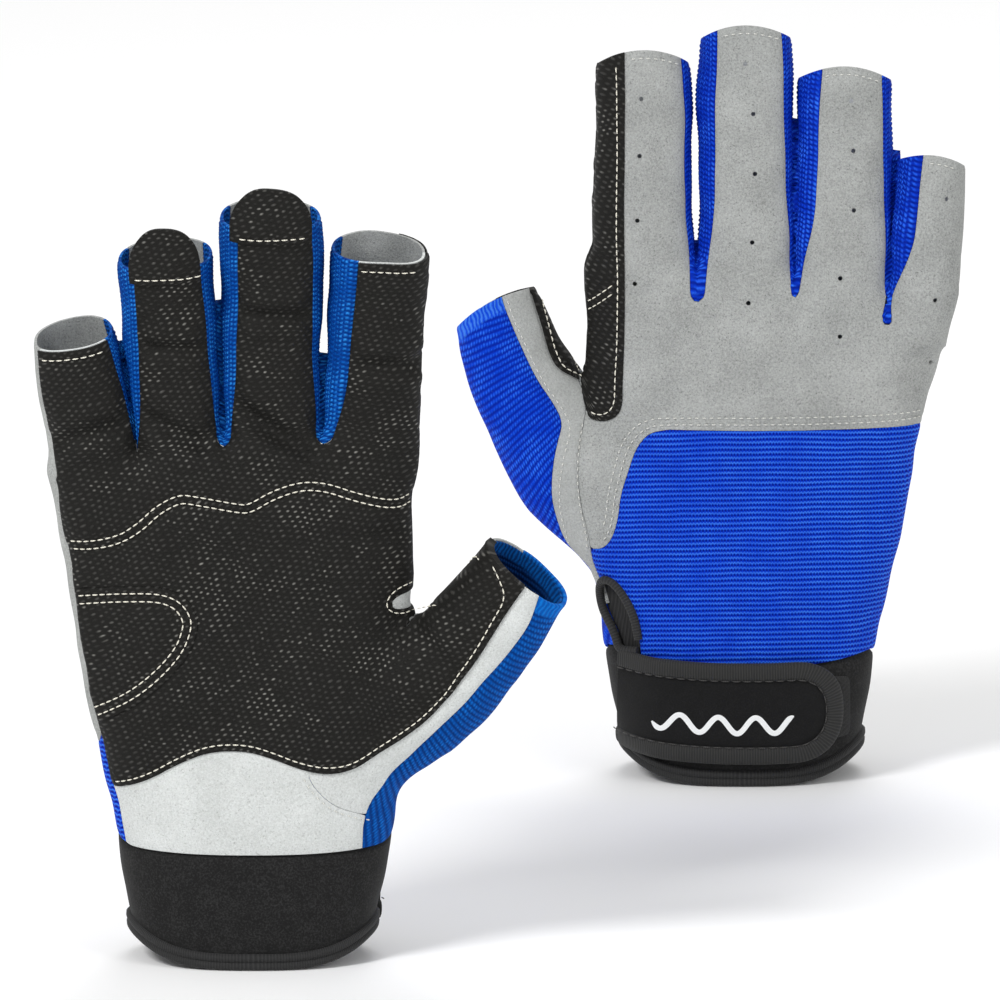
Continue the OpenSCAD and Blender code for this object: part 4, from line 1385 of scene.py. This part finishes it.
class Finish:
    """A small helper for building a material out of nodes."""

    def __init__(self, name, roughness=0.7, sheen=0.0):
        self.mat = bpy.data.materials.new(name)
        self.mat.use_nodes = True
        self.nodes, self.links = self.mat.node_tree.nodes, self.mat.node_tree.links
        self.bsdf = self.nodes["Principled BSDF"]
        self.set(self.bsdf, "Roughness", roughness)
        self.set(self.bsdf, "Sheen Weight", sheen)
        self.set(self.bsdf, "Sheen Roughness", 0.5)

    def set(self, node, key, value):
        if isinstance(value, bpy.types.NodeSocket):
            self.links.new(value, node.inputs[key])
        else:
            node.inputs[key].default_value = value

    def attribute(self, name):
        node = self.nodes.new("ShaderNodeAttribute")
        node.attribute_name = name
        return node.outputs["Vector"]

    def parts(self, vector):
        node = self.nodes.new("ShaderNodeSeparateXYZ")
        self.set(node, 0, vector)
        return node.outputs[:3]

    def join(self, *xyz):
        node = self.nodes.new("ShaderNodeCombineXYZ")
        for i, value in enumerate(xyz):
            self.set(node, i, value)
        return node.outputs[0]

    def math(self, kind, *values):
        node = self.nodes.new("ShaderNodeMath")
        node.operation = kind
        for i, value in enumerate(values):
            self.set(node, i, value)
        return node.outputs[0]

    def add(self, a, b):
        return self.math("ADD", a, b)

    def minus(self, a, b):
        return self.math("SUBTRACT", a, b)

    def mul(self, a, b):
        return self.math("MULTIPLY", a, b)

    def div(self, a, b):
        return self.math("DIVIDE", a, b)

    def muladd(self, a, b, c):
        return self.math("MULTIPLY_ADD", a, b, c)

    def noise(self, vector, size, detail=2.0, roughness=0.5):
        node = self.nodes.new("ShaderNodeTexNoise")
        self.set(node, "Vector", vector)
        self.set(node, "Scale", 1.0 / size)
        self.set(node, "Detail", detail)
        self.set(node, "Roughness", roughness)
        return node.outputs["Fac"]

    def scale(self, value, low, high, to_low=0.0, to_high=1.0):
        node = self.nodes.new("ShaderNodeMapRange")
        for i, v in enumerate((value, low, high, to_low, to_high)):
            self.set(node, i, v)
        return node.outputs[0]

    def blend(self, a, b, share):
        node = self.nodes.new("ShaderNodeMix")
        node.data_type = "RGBA"
        self.set(node, "Factor", share)
        for key, value in (("A", a), ("B", b)):
            socket = [i for i in node.inputs if i.name == key and i.type == "RGBA"][0]
            if isinstance(value, bpy.types.NodeSocket):
                self.links.new(value, socket)
            else:
                socket.default_value = value
        return [o for o in node.outputs if o.type == "RGBA"][0]

    def wave(self, value, pitch):
        """0 in the dips and 1 on the crests of a rib of this pitch."""
        return self.muladd(self.math("SINE", self.mul(value, 2 * math.pi / pitch)), 0.5, 0.5)

    def done(self, tint, height=None, depth=0.3, strength=1.0):
        self.set(self.bsdf, "Base Color", tint)
        if height is not None:
            bump = self.nodes.new("ShaderNodeBump")
            self.set(bump, "Strength", strength)
            self.set(bump, "Distance", depth * MM)
            self.set(bump, "Height", height)
            self.set(self.bsdf, "Normal", bump.outputs[0])
        return self.mat


def leather(name):
    """Rows of small raised dashes, slightly uneven; their tops are painted paler and pale spots are painted on here
    and there, both painted highlight.
    """
    f = Finish(name, 0.5)
    rest, pat = f.attribute("rest"), f.attribute("pat")
    a, b, _ = f.parts(pat)
    wobble = f.muladd(f.noise(rest, 9, 2), 3.2, -1.6)
    b = f.add(f.muladd(wobble, 0.8, b), f.mul(a, 0.1))
    row = f.div(b, 1.38)
    line = f.math("FLOOR", row)
    fb = f.minus(f.math("FRACT", row), 0.5)
    col = f.add(f.div(f.add(a, wobble), 2.05), f.mul(line, 0.3))
    fa = f.minus(f.math("FRACT", col), 0.5)
    tilt = f.muladd(fa, -0.5, fb)
    r = f.math("SQRT", f.add(f.math("POWER", f.div(fa, 0.3), 2.0), f.math("POWER", f.div(tilt, 0.3), 2.0)))
    dash = f.scale(r, 1.15, 0.3)
    cell = f.noise(f.join(f.math("FLOOR", col), line, 0.0), 0.7, 0)
    grain = f.noise(rest, 0.35, 3, 0.6)
    # painted highlight: lit paints the dash tops paler, and also makes them glossier
    lit = f.mul(dash, f.scale(cell, 0.3, 0.75, 0.15, 0.9))
    # painted highlight: pale spots painted on the dash tops in cloudy clusters
    cluster = f.scale(f.muladd(cell, 0.35, f.noise(rest, 11, 3, 0.6)), 0.7, 0.92)
    painted_glint = f.mul(f.scale(r, 0.85, 0.3), cluster)
    tint = f.blend(f.blend(colour(19, 19, 18), colour(34, 33, 31), grain), colour(62, 61, 58), lit)
    tint = f.blend(tint, colour(132, 131, 125), painted_glint)
    f.set(f.bsdf, "Roughness", f.scale(lit, 0, 1, 0.62, 0.36))
    f.set(f.bsdf, "Specular IOR Level", f.scale(lit, 0, 1, 0.1, 0.4))
    height = f.add(dash, f.mul(grain, 0.45))
    return f.done(tint, height, 0.3, 0.8)


def suede(name, light, dark, fleck, behind=None):
    """Short, cloudy nap with darker flecks; where it wraps round to the back of the hand it may take painted shade, a
    darker pair of colours blended in on the side facing away from the front.
    """
    f = Finish(name, 0.95, 0.05)
    rest = f.attribute("rest")
    _, _, front = f.parts(f.attribute("pat"))
    nap, cloud, fibre = f.noise(rest, 0.55, 3, 0.7), f.noise(rest, 14, 3), f.noise(rest, 0.25, 2)
    share = f.scale(f.muladd(cloud, 0.4, f.mul(nap, 0.9)), 0.46, 0.84)
    tint = f.blend(dark, light, share)
    if behind:
        # painted shade: the darker pair takes over where the suede faces away from the front
        tint = f.blend(tint, f.blend(*behind, share), f.scale(front, 0, -5))
    tint = f.blend(tint, fleck, f.scale(f.noise(rest, 0.6, 2, 0.7), 0.6, 0.7, 0, 0.75))
    f.set(f.bsdf, "Specular IOR Level", 0.1)
    return f.done(tint, f.add(nap, f.mul(fibre, 0.8)), 0.3, 0.9)


def rib_knit(name, dark, mid, bright, pitch, chain, groove=1.0, depth=0.4, rim=None):
    """Ribbed knit: rows of small slanting loops, set off from column to column; a gathered rim. The dips are painted
    darker as painted shade, the loops and the rim's gather crests paler as painted highlight.
    """
    f = Finish(name, 0.7)
    rest, pat = f.attribute("rest"), f.attribute("pat")
    a, b, edge = f.parts(pat)
    a = f.muladd(f.noise(rest, 14, 2), 1.2, a)
    rib = f.wave(a, pitch)
    column = f.div(b, chain)
    odd = f.mul(f.math("MODULO", f.math("FLOOR", column), 2.0), 0.5 * pitch * (1 - groove))
    across = f.minus(f.math("FRACT", column), 0.5)
    loop_a = f.wave(f.add(f.add(a, odd), f.mul(across, 0.5 * pitch)), pitch)
    loop_b = f.scale(f.math("ABSOLUTE", across), 0.5, 0.15)
    loop = f.mul(f.math("POWER", loop_a, 0.8), loop_b)
    patch = f.noise(rest, 6, 3)
    body = f.muladd(f.scale(rib, 0.0, 0.8), groove, f.mul(loop, 1 - groove))
    # painted shade: darker in the rib dips and between the loops
    tint = f.blend(dark, mid, f.math("MINIMUM", body, 1.0))
    # painted highlight: the loops painted towards the bright colour, in cloudy patches
    painted_gleam = f.mul(loop, f.scale(f.muladd(f.noise(rest, 0.6, 2), 0.5, patch), 0.5, 1.1))
    tint = f.blend(tint, bright, f.scale(painted_gleam, 0.12, 0.75, 0, 0.9))
    height = f.add(f.mul(rib, groove), f.mul(loop, 0.7))
    if rim:
        # painted highlight: the rim's gather crests painted towards the rim colour
        gather = f.wave(f.muladd(f.noise(rest, 2.5, 2), 1.5, b), 1.2)
        near = f.scale(edge, 3.9, 3.1)
        tint = f.blend(tint, f.blend(mid, rim, gather), near)
        height = f.add(f.mul(height, f.scale(near, 1, 0)), f.mul(gather, near))
    f.set(f.bsdf, "Specular IOR Level", 0.06)
    return f.done(tint, height, depth, 0.9)


def stretch_rib(name, dark, mid, bright, pitch, zigzag):
    """Elastic cloth: thin wavy ridges with painted highlight, stronger towards the little finger's side, over dotted
    grooves with painted shade.
    """
    f = Finish(name, 0.65)
    rest = f.attribute("rest")
    a, b, _ = f.parts(f.attribute("pat"))
    a = f.muladd(f.noise(rest, 16, 2), 0.9, a)
    sway = f.wave(f.muladd(f.noise(rest, 3, 2), 0.8, b), zigzag)
    t = f.math("FRACT", f.div(f.muladd(sway, 0.3, a), pitch))
    t = f.math("ABSOLUTE", f.minus(t, 0.5))
    ridge = f.scale(t, 0.26, 0.08)
    # painted shade: the grooves painted darker, in dots
    groove = f.mul(f.scale(t, 0.2, 0.4), f.scale(sway, 0.9, 0.3))
    # painted highlight: the ridges painted bright, in cloudy patches and more towards the little finger's side
    side = f.scale(b, -10, -50, 0, 0.25)
    painted_shine = f.add(f.scale(f.noise(rest, 7, 3), 0.3, 0.7, 0.35, 0.75), side)
    tint = f.blend(f.blend(mid, dark, groove), bright, f.mul(ridge, painted_shine))
    f.set(f.bsdf, "Specular IOR Level", 0.06)
    return f.done(tint, f.scale(t, 0.5, 0.0), 0.4, 0.8)


def jersey(name, base, fleck, size=0.55):
    """Fine dark cloth with paler flecks."""
    f = Finish(name, 0.85, 0.05)
    rest = f.attribute("rest")
    speck, soft = f.noise(rest, size, 3, 0.7), f.noise(rest, 5, 2)
    tint = f.blend(base, fleck, f.scale(f.muladd(soft, 0.2, speck), 0.55, 0.85))
    f.set(f.bsdf, "Specular IOR Level", 0.25)
    return f.done(tint, speck, 0.12, 0.6)


def ribbed_tape(name, base, fleck, pitch):
    """Woven tape with ribs across it."""
    f = Finish(name, 0.8, 0.05)
    a, _, _ = f.parts(f.attribute("pat"))
    rib = f.wave(a, pitch)
    tint = f.blend(base, fleck, f.scale(rib, 0.4, 1, 0, 0.7))
    return f.done(tint, rib, 0.15, 0.7)


def plain_thread(name, light, dark):
    """Twisted thread: slanting dark lines of painted shade between its strands."""
    f = Finish(name, 0.6, 0.1)
    a, b, _ = f.parts(f.attribute("pat"))
    twist = f.wave(f.add(a, f.mul(b, 0.6)), 0.55)
    # painted shade: the second colour lies in the grooves of the twist
    return f.done(f.blend(dark, light, f.scale(twist, 0, 0.5)), twist, 0.08, 0.5)


def hook_tape(name):
    f = Finish(name, 0.9)
    rest = f.attribute("rest")
    cell = f.noise(rest, 0.35, 4, 0.8)
    return f.done(f.blend(colour(20, 20, 20), colour(58, 58, 58), cell), cell, 0.5, 1)


def printed(name):
    f = Finish(name, 0.55)
    rest = f.attribute("rest")
    tint = f.blend(colour(222, 224, 224), colour(240, 241, 240), f.noise(rest, 0.5, 2))
    return f.done(tint, f.noise(rest, 0.3, 2), 0.05, 0.5)


SLOTS = {
    "grip_leather": ["leather", "thread"],
    "grey_suede": ["palm_suede", "back_suede", "soft_thread"],
    "stretch_fabric": ["stretch", "thumb_azure", "thumb_blue", "lining"],
    "blue_knit": ["knit_azure", "knit_navy"],
    "cuff_neoprene": ["neoprene"],
    "strap_fabric": ["strap", "strap_edge", "dark_thread", "print"],
    "binding_tape": ["tape"],
    "hook_and_loop": ["hook"],
}


def finishes():
    """Every finish by name: its material, and the material slot of the frame that it belongs to."""
    made = {
        "leather": leather("grip_leather"),
        # the palm suede's last pair of colours is its painted shade where it wraps round to the back
        "palm_suede": suede("palm_suede", colour(222, 225, 224), colour(192, 195, 193), colour(162, 164, 162),
                            (colour(154, 156, 154), colour(186, 188, 186))),
        "back_suede": suede("back_suede", colour(182, 184, 182), colour(140, 142, 140),
                            colour(102, 104, 102)),
        # the dark colours of the stretch cloth and the knits are painted shade in their dips, the bright ones painted
        # highlight
        "stretch": stretch_rib("stretch_fabric", colour(0, 20, 130), colour(0, 52, 192), colour(60, 126, 236),
                               1.43, 0.9),
        "thumb_azure": rib_knit("thumb_azure", colour(0, 48, 116), colour(2, 80, 168), colour(18, 112, 206),
                                1.15, 0.85, 0.7, 0.3, colour(10, 110, 200)),
        "thumb_blue": rib_knit("thumb_blue", colour(0, 32, 150), colour(2, 62, 205), colour(50, 120, 245),
                               1.15, 0.85, 0.8, 0.3, colour(60, 120, 225)),
        # painted shade: the inside of the thumb stall in darker navy, paler at its rim
        "lining": rib_knit("thumb_lining", colour(0, 26, 66), colour(6, 46, 100), colour(10, 58, 122),
                           1.2, 0.85, 0.7, 0.2, colour(6, 84, 160)),
        "knit_azure": rib_knit("knit_azure", colour(0, 44, 116), colour(6, 88, 184), colour(50, 150, 236),
                               KNIT_PITCH, 0.8, 0.45),
        "knit_navy": rib_knit("knit_navy", colour(0, 26, 134), colour(6, 60, 206), colour(50, 116, 246),
                              KNIT_PITCH, 0.8, 0.45),
        "neoprene": jersey("cuff_neoprene", colour(15, 15, 15), colour(47, 47, 47)),
        "strap": jersey("strap_fabric", colour(7, 7, 8), colour(25, 25, 25), 0.4),
        "strap_edge": ribbed_tape("strap_edge", colour(20, 20, 20), colour(48, 48, 46), 0.75),
        "tape": ribbed_tape("binding_tape", colour(18, 18, 19), colour(44, 44, 44), 0.8),
        "hook": hook_tape("hook_and_loop"),
        # each thread's second colour is painted shade between its strands
        "thread": plain_thread("pale_thread", colour(246, 242, 228), colour(176, 170, 150)),
        "soft_thread": plain_thread("suede_thread", colour(228, 228, 222), colour(160, 160, 154)),
        "dark_thread": plain_thread("dark_thread", colour(62, 60, 58), colour(24, 24, 24)),
        "print": printed("strap_print"),
    }
    return {name: (made[name], slot) for slot, names in SLOTS.items() for name in names}


# ---------------------------------------------------------------- putting a glove together

GLOVES = [
    Glove("glove_1", 1,
          [(-42.6, -49.6, 176.5, 23, 1.5), (-20.2, -24.1, 199.5, 26, 0.5), (5.4, 5.3, 211, 27.6, 0.6),
           (31, 35.2, 201.3, 25.6, 0.6)],
          PALM_THUMB, widen=0, tip=0.004, front_seams=[(2, 1.9), (4.4, 3.2), (4.8, 2.8), (7, 2.4)],
          back_seams=[(2.2, 2.2)] * 4, stretch=STRETCH + STRETCH_HIDDEN),
    Glove("glove_2", -1,
          [(-50.6, -53.7, 176.5, 20.1, 0.6), (-28, -29.2, 201.5, 25.7, 1.6), (-1.4, -0.6, 213, 25.5, 1.4),
           (27.2, 27.8, 206, 25, 1.6)],
          BACK_THUMB, widen=3.4, tip=0.018, front_seams=[(2.5, 2.5)] * 4,
          back_seams=[(2.4, 7.4), (2.4, 6.2), (2.4, 4.8), (2, 2.2)], stretch=STRETCH + STRETCH_SHOWN),
]


def cloth_pieces(sheet, mats, first):
    knit = mats["knit_azure"] if first else mats["knit_navy"]
    thumb = mats["thumb_azure"] if first else mats["thumb_blue"]
    for name, nodes, move in (("palm_base", ["palm_base"], "fingers"),
                              ("finger_fronts", ["finger_fronts"], "fingers"),
                              ("thumb_base", ["thumb_base"], "hand"),
                              ("thumb_front", [], "hand")):
        panel(sheet, name, nodes, mats["palm_suede"], move)
    panel(sheet, "thumb_back", ["thumb_back"], thumb, "hand", fine=1, pattern=thumb_pattern)
    panel(sheet, "back_stretch", ["back_stretch"], mats["stretch"], "hand", fine=1, pattern=stretch_pattern)
    panel(sheet, "back_panel", ["back_panel"], mats["back_suede"], "fingers", holes=HAND_HOLES, seam=0.2)
    panel(sheet, "finger_backs", ["finger_backs"], mats["back_suede"], "fingers", holes=HOLES)
    for name in ("gusset_ring_pinky", "gusset_middle_ring", "gusset_index_middle"):
        panel(sheet, name, [name], knit, "fingers", fine=2, pattern=gusset_pattern)
    # painted shade: a darker navy sheet inside the thumb stall
    panel(sheet, "thumb_lining", [], mats["lining"], "hand", lift=-1.8, thick=0.6, pattern=thumb_pattern)


def leather_pieces(sheet, leather):
    """The grip leather, sewn on top of the suede; the patches lie on it in turn."""
    for name, nodes, move, lift, thick, more in (
            ("palm_grip", ["palm_grip"], "fingers", 0.05, 0.8, {}),
            ("thumb_grip", ["thumb_grip"], "hand", 0.05, 0.8, {"fold": 2.0}),
            ("finger_grips", ["finger_grips"], "fingers", 0.1, 1.05, {}),
            ("heel_patch", ["heel_patch"], "hand", 0.9, 0.85, {}),
            ("index_patch", ["index_patch", "side_patch"], "fingers", 0.05, 0.8, {"seam": 0.2})):
        panel(sheet, name, nodes, leather, move, lift=lift, thick=thick, edge=0.5,
              pattern=leather_pattern, **{"seam": 0.25, **more})


def thread_runs(glove, lines, side, height, facing=0.3):
    return [(lift_line(glove, line, side, facing=facing), height) for line in lines]


# stitches: pitch, length and radius; two rows lie ROW_GAP apart
SEWN, FINE = (2.15, 1.65, 0.21), (2.1, 1.2, 0.2)
ROW_GAP = 2.2
WRAP_STITCH = [(35.2, 204), (35.0, 150), (35.2, 112), (36, 107.4), (38.4, 105), (41.6, 104.7), (43.4, 106)]
FRAME_INNER = [(-50.5, 103.8), (21, 103.8), (27.6, 102.2), (31.8, 97.4), (33.9, 91.4), (36.2, 82.8),
               (36.6, 76), (38, 71), (39.6, 69)]
FRAME_OUTER = [(-50.5, 105.7), (21, 105.7), (28.8, 104), (33.6, 98.4), (35.8, 91.8), (38.1, 83),
               (38.5, 76.4), (39.6, 72.4)]


def rim_line(glove, seams, k, sign, end=None):
    """A line just below a finger's rim, from seam to seam on its front (-1) or back (+1)."""
    left, right = seams[k] + 0.8
    half, down = glove.fingers[k][3] / 2, 2.0 if sign < 0 and k in (RING, MIDDLE) else 2.2
    return finger_line(glove, k, down, left - half, half - right if end is None else end * half, sign)


def leather_stitches(glove, mats):
    line = WAVE[1:-1] + [(43.4, 131.5)]
    runs = thread_runs(glove, [rounded_line(line), shifted(line, -ROW_GAP)], "palm", 1.15)
    stitches(glove, "wave_stitches", runs, mats["thread"], "fingers", SEWN)
    runs = thread_runs(glove, [rounded_line(LOW_STITCH)], "palm", 0.9)
    runs += thread_runs(glove, [rounded_line(HEEL[1:-1]), shifted(HEEL[1:-1], ROW_GAP)], "palm", 1.8)
    runs += thread_runs(glove, [rounded_line(NOTCH_STITCH)], "palm", 0.9)
    stitches(glove, "palm_stitches", runs, mats["thread"], "hand", SEWN)
    runs = thread_runs(glove, [shifted(BLACK_BACK[1:], 1.2)], "back", 0.9, 0.1)
    stitches(glove, "thumb_stitches", runs, mats["thread"], "hand", SEWN)
    height = {PINKY: 1.2, RING: 2.2, MIDDLE: 2.2, INDEX: 1.2}
    runs = [(rim_line(glove, glove.front_seams, k, -1), height[k]) for k in height]
    runs += thread_runs(glove, [rounded_line(WRAP_STITCH)], "back", 0.95)
    runs += thread_runs(glove, [[(43.2, 136.6), (35.8, 143)], [(43.2, 134.2), (35.6, 140.7)]], "back", 0.95)
    stitches(glove, "finger_stitches", runs, mats["thread"], "fingers", SEWN)


def suede_stitches(glove, mats):
    runs = thread_runs(glove, [rounded_line(FRAME_INNER), rounded_line(FRAME_OUTER)], "back", 0.1)
    runs += thread_runs(glove, [shifted(BLUE_BACK[6:-1], 1.3), shifted(THUMB_SEAM[4:9], -1.2)], "back", 0.02)
    runs += thread_runs(glove, [shifted(HEEL_SEAM[1:-1], -1.3)], "palm", 0.02)
    stitches(glove, "panel_stitches", runs, mats["soft_thread"], "hand", FINE)
    runs = [(rim_line(glove, glove.back_seams, k, 1, 0.36 if k == INDEX else None), 0.1) for k in range(4)]
    stitches(glove, "rim_stitches", runs, mats["soft_thread"], "fingers", FINE)


def build(glove, mats):
    first = glove is GLOVES[0]
    sheet = Sheet(glove)
    cloth_pieces(sheet, mats, first)
    leather_pieces(sheet, mats["leather"])
    slit(sheet, mats)
    for part in (cuff, hem, strap_cloth, strap_tape, strap_stitches, strap_mark):
        part(glove, mats)
    fastener(glove, mats, "loop_patch", (-30, -8), (13, 31), 0.4, 1.1, "outside", "hand")
    fastener(glove, mats, "hook_patch", (-22, -9), (15, 29), 1.15, 1.75, "inside", "strap_only")
    rise = 12.5 if first else -1.2
    pull_tab(glove, RING, "ring_pull_tab", 8.9, rise, mats)
    pull_tab(glove, MIDDLE, "middle_pull_tab", 10.3, rise, mats)
    leather_stitches(glove, mats)
    suede_stitches(glove, mats)


# ---------------------------------------------------------------- floor, light and camera


def add(name, data):
    obj = bpy.data.objects.new(name, data)
    bpy.context.scene.collection.objects.link(obj)
    return obj


def area_light(name, place, aim, size, power):
    lamp = bpy.data.lights.new(name, "AREA")
    lamp.shape, lamp.size, lamp.energy = "DISK", size, power
    obj = add(name, lamp)
    obj.location = place
    obj.rotation_euler = (Vector(aim) - Vector(place)).to_track_quat("-Z", "Y").to_euler()


def floor():
    half = 9
    mesh = bpy.data.meshes.new("floor")
    corners = [(x * half, y * half, 0) for x, y in ((-1, -1), (1, -1), (1, 1), (-1, 1))]
    mesh.from_pydata(corners, [], [(0, 1, 2, 3)])
    mesh.materials.append(Finish("floor_paper", 0.9).done(colour(250, 250, 250)))
    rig.stage(add("floor", mesh))


def lights():
    world = bpy.data.worlds.new("studio")
    world.use_nodes = True
    background = world.node_tree.nodes["Background"]
    background.inputs["Color"].default_value = (1, 1, 1, 1)
    background.inputs["Strength"].default_value = 0.55
    bpy.context.scene.world = world
    bpy.context.scene.view_settings.view_transform = "Standard"
    area_light("key", (-1.1, -1.2, 1.5), (0, 0, 0.1), 0.6, 26)
    area_light("fill", (1.3, -1.2, 0.7), (0, 0, 0.1), 1.2, 8)
    area_light("rim", (0.2, 1.2, 1.6), (0, 0, 0.12), 1.0, 12)


def camera():
    """A long lens far away, looking slightly down at the middle of the gloves."""
    distance, tilt, width = 10.0, math.radians(12), 0.28
    view = bpy.data.cameras.new("camera")
    obj = add("camera", view)
    obj.location = Vector((0, 0, 0.1033)) + distance * Vector((0, -math.cos(tilt), math.sin(tilt)))
    obj.rotation_euler = (math.pi / 2 - tilt, 0, 0)
    view.sensor_width = 36
    view.lens = view.sensor_width * distance / width
    view.clip_end = 100
    bpy.context.scene.camera = obj


mats = finishes()
for each in GLOVES:
    build(each, mats)
floor()
lights()
camera()

low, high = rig.bounds()
with open("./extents.json", "w") as out:
    json.dump({"cad": [list(cad_lo), list(cad_hi)], "visual": [list(low), list(high)]}, out)
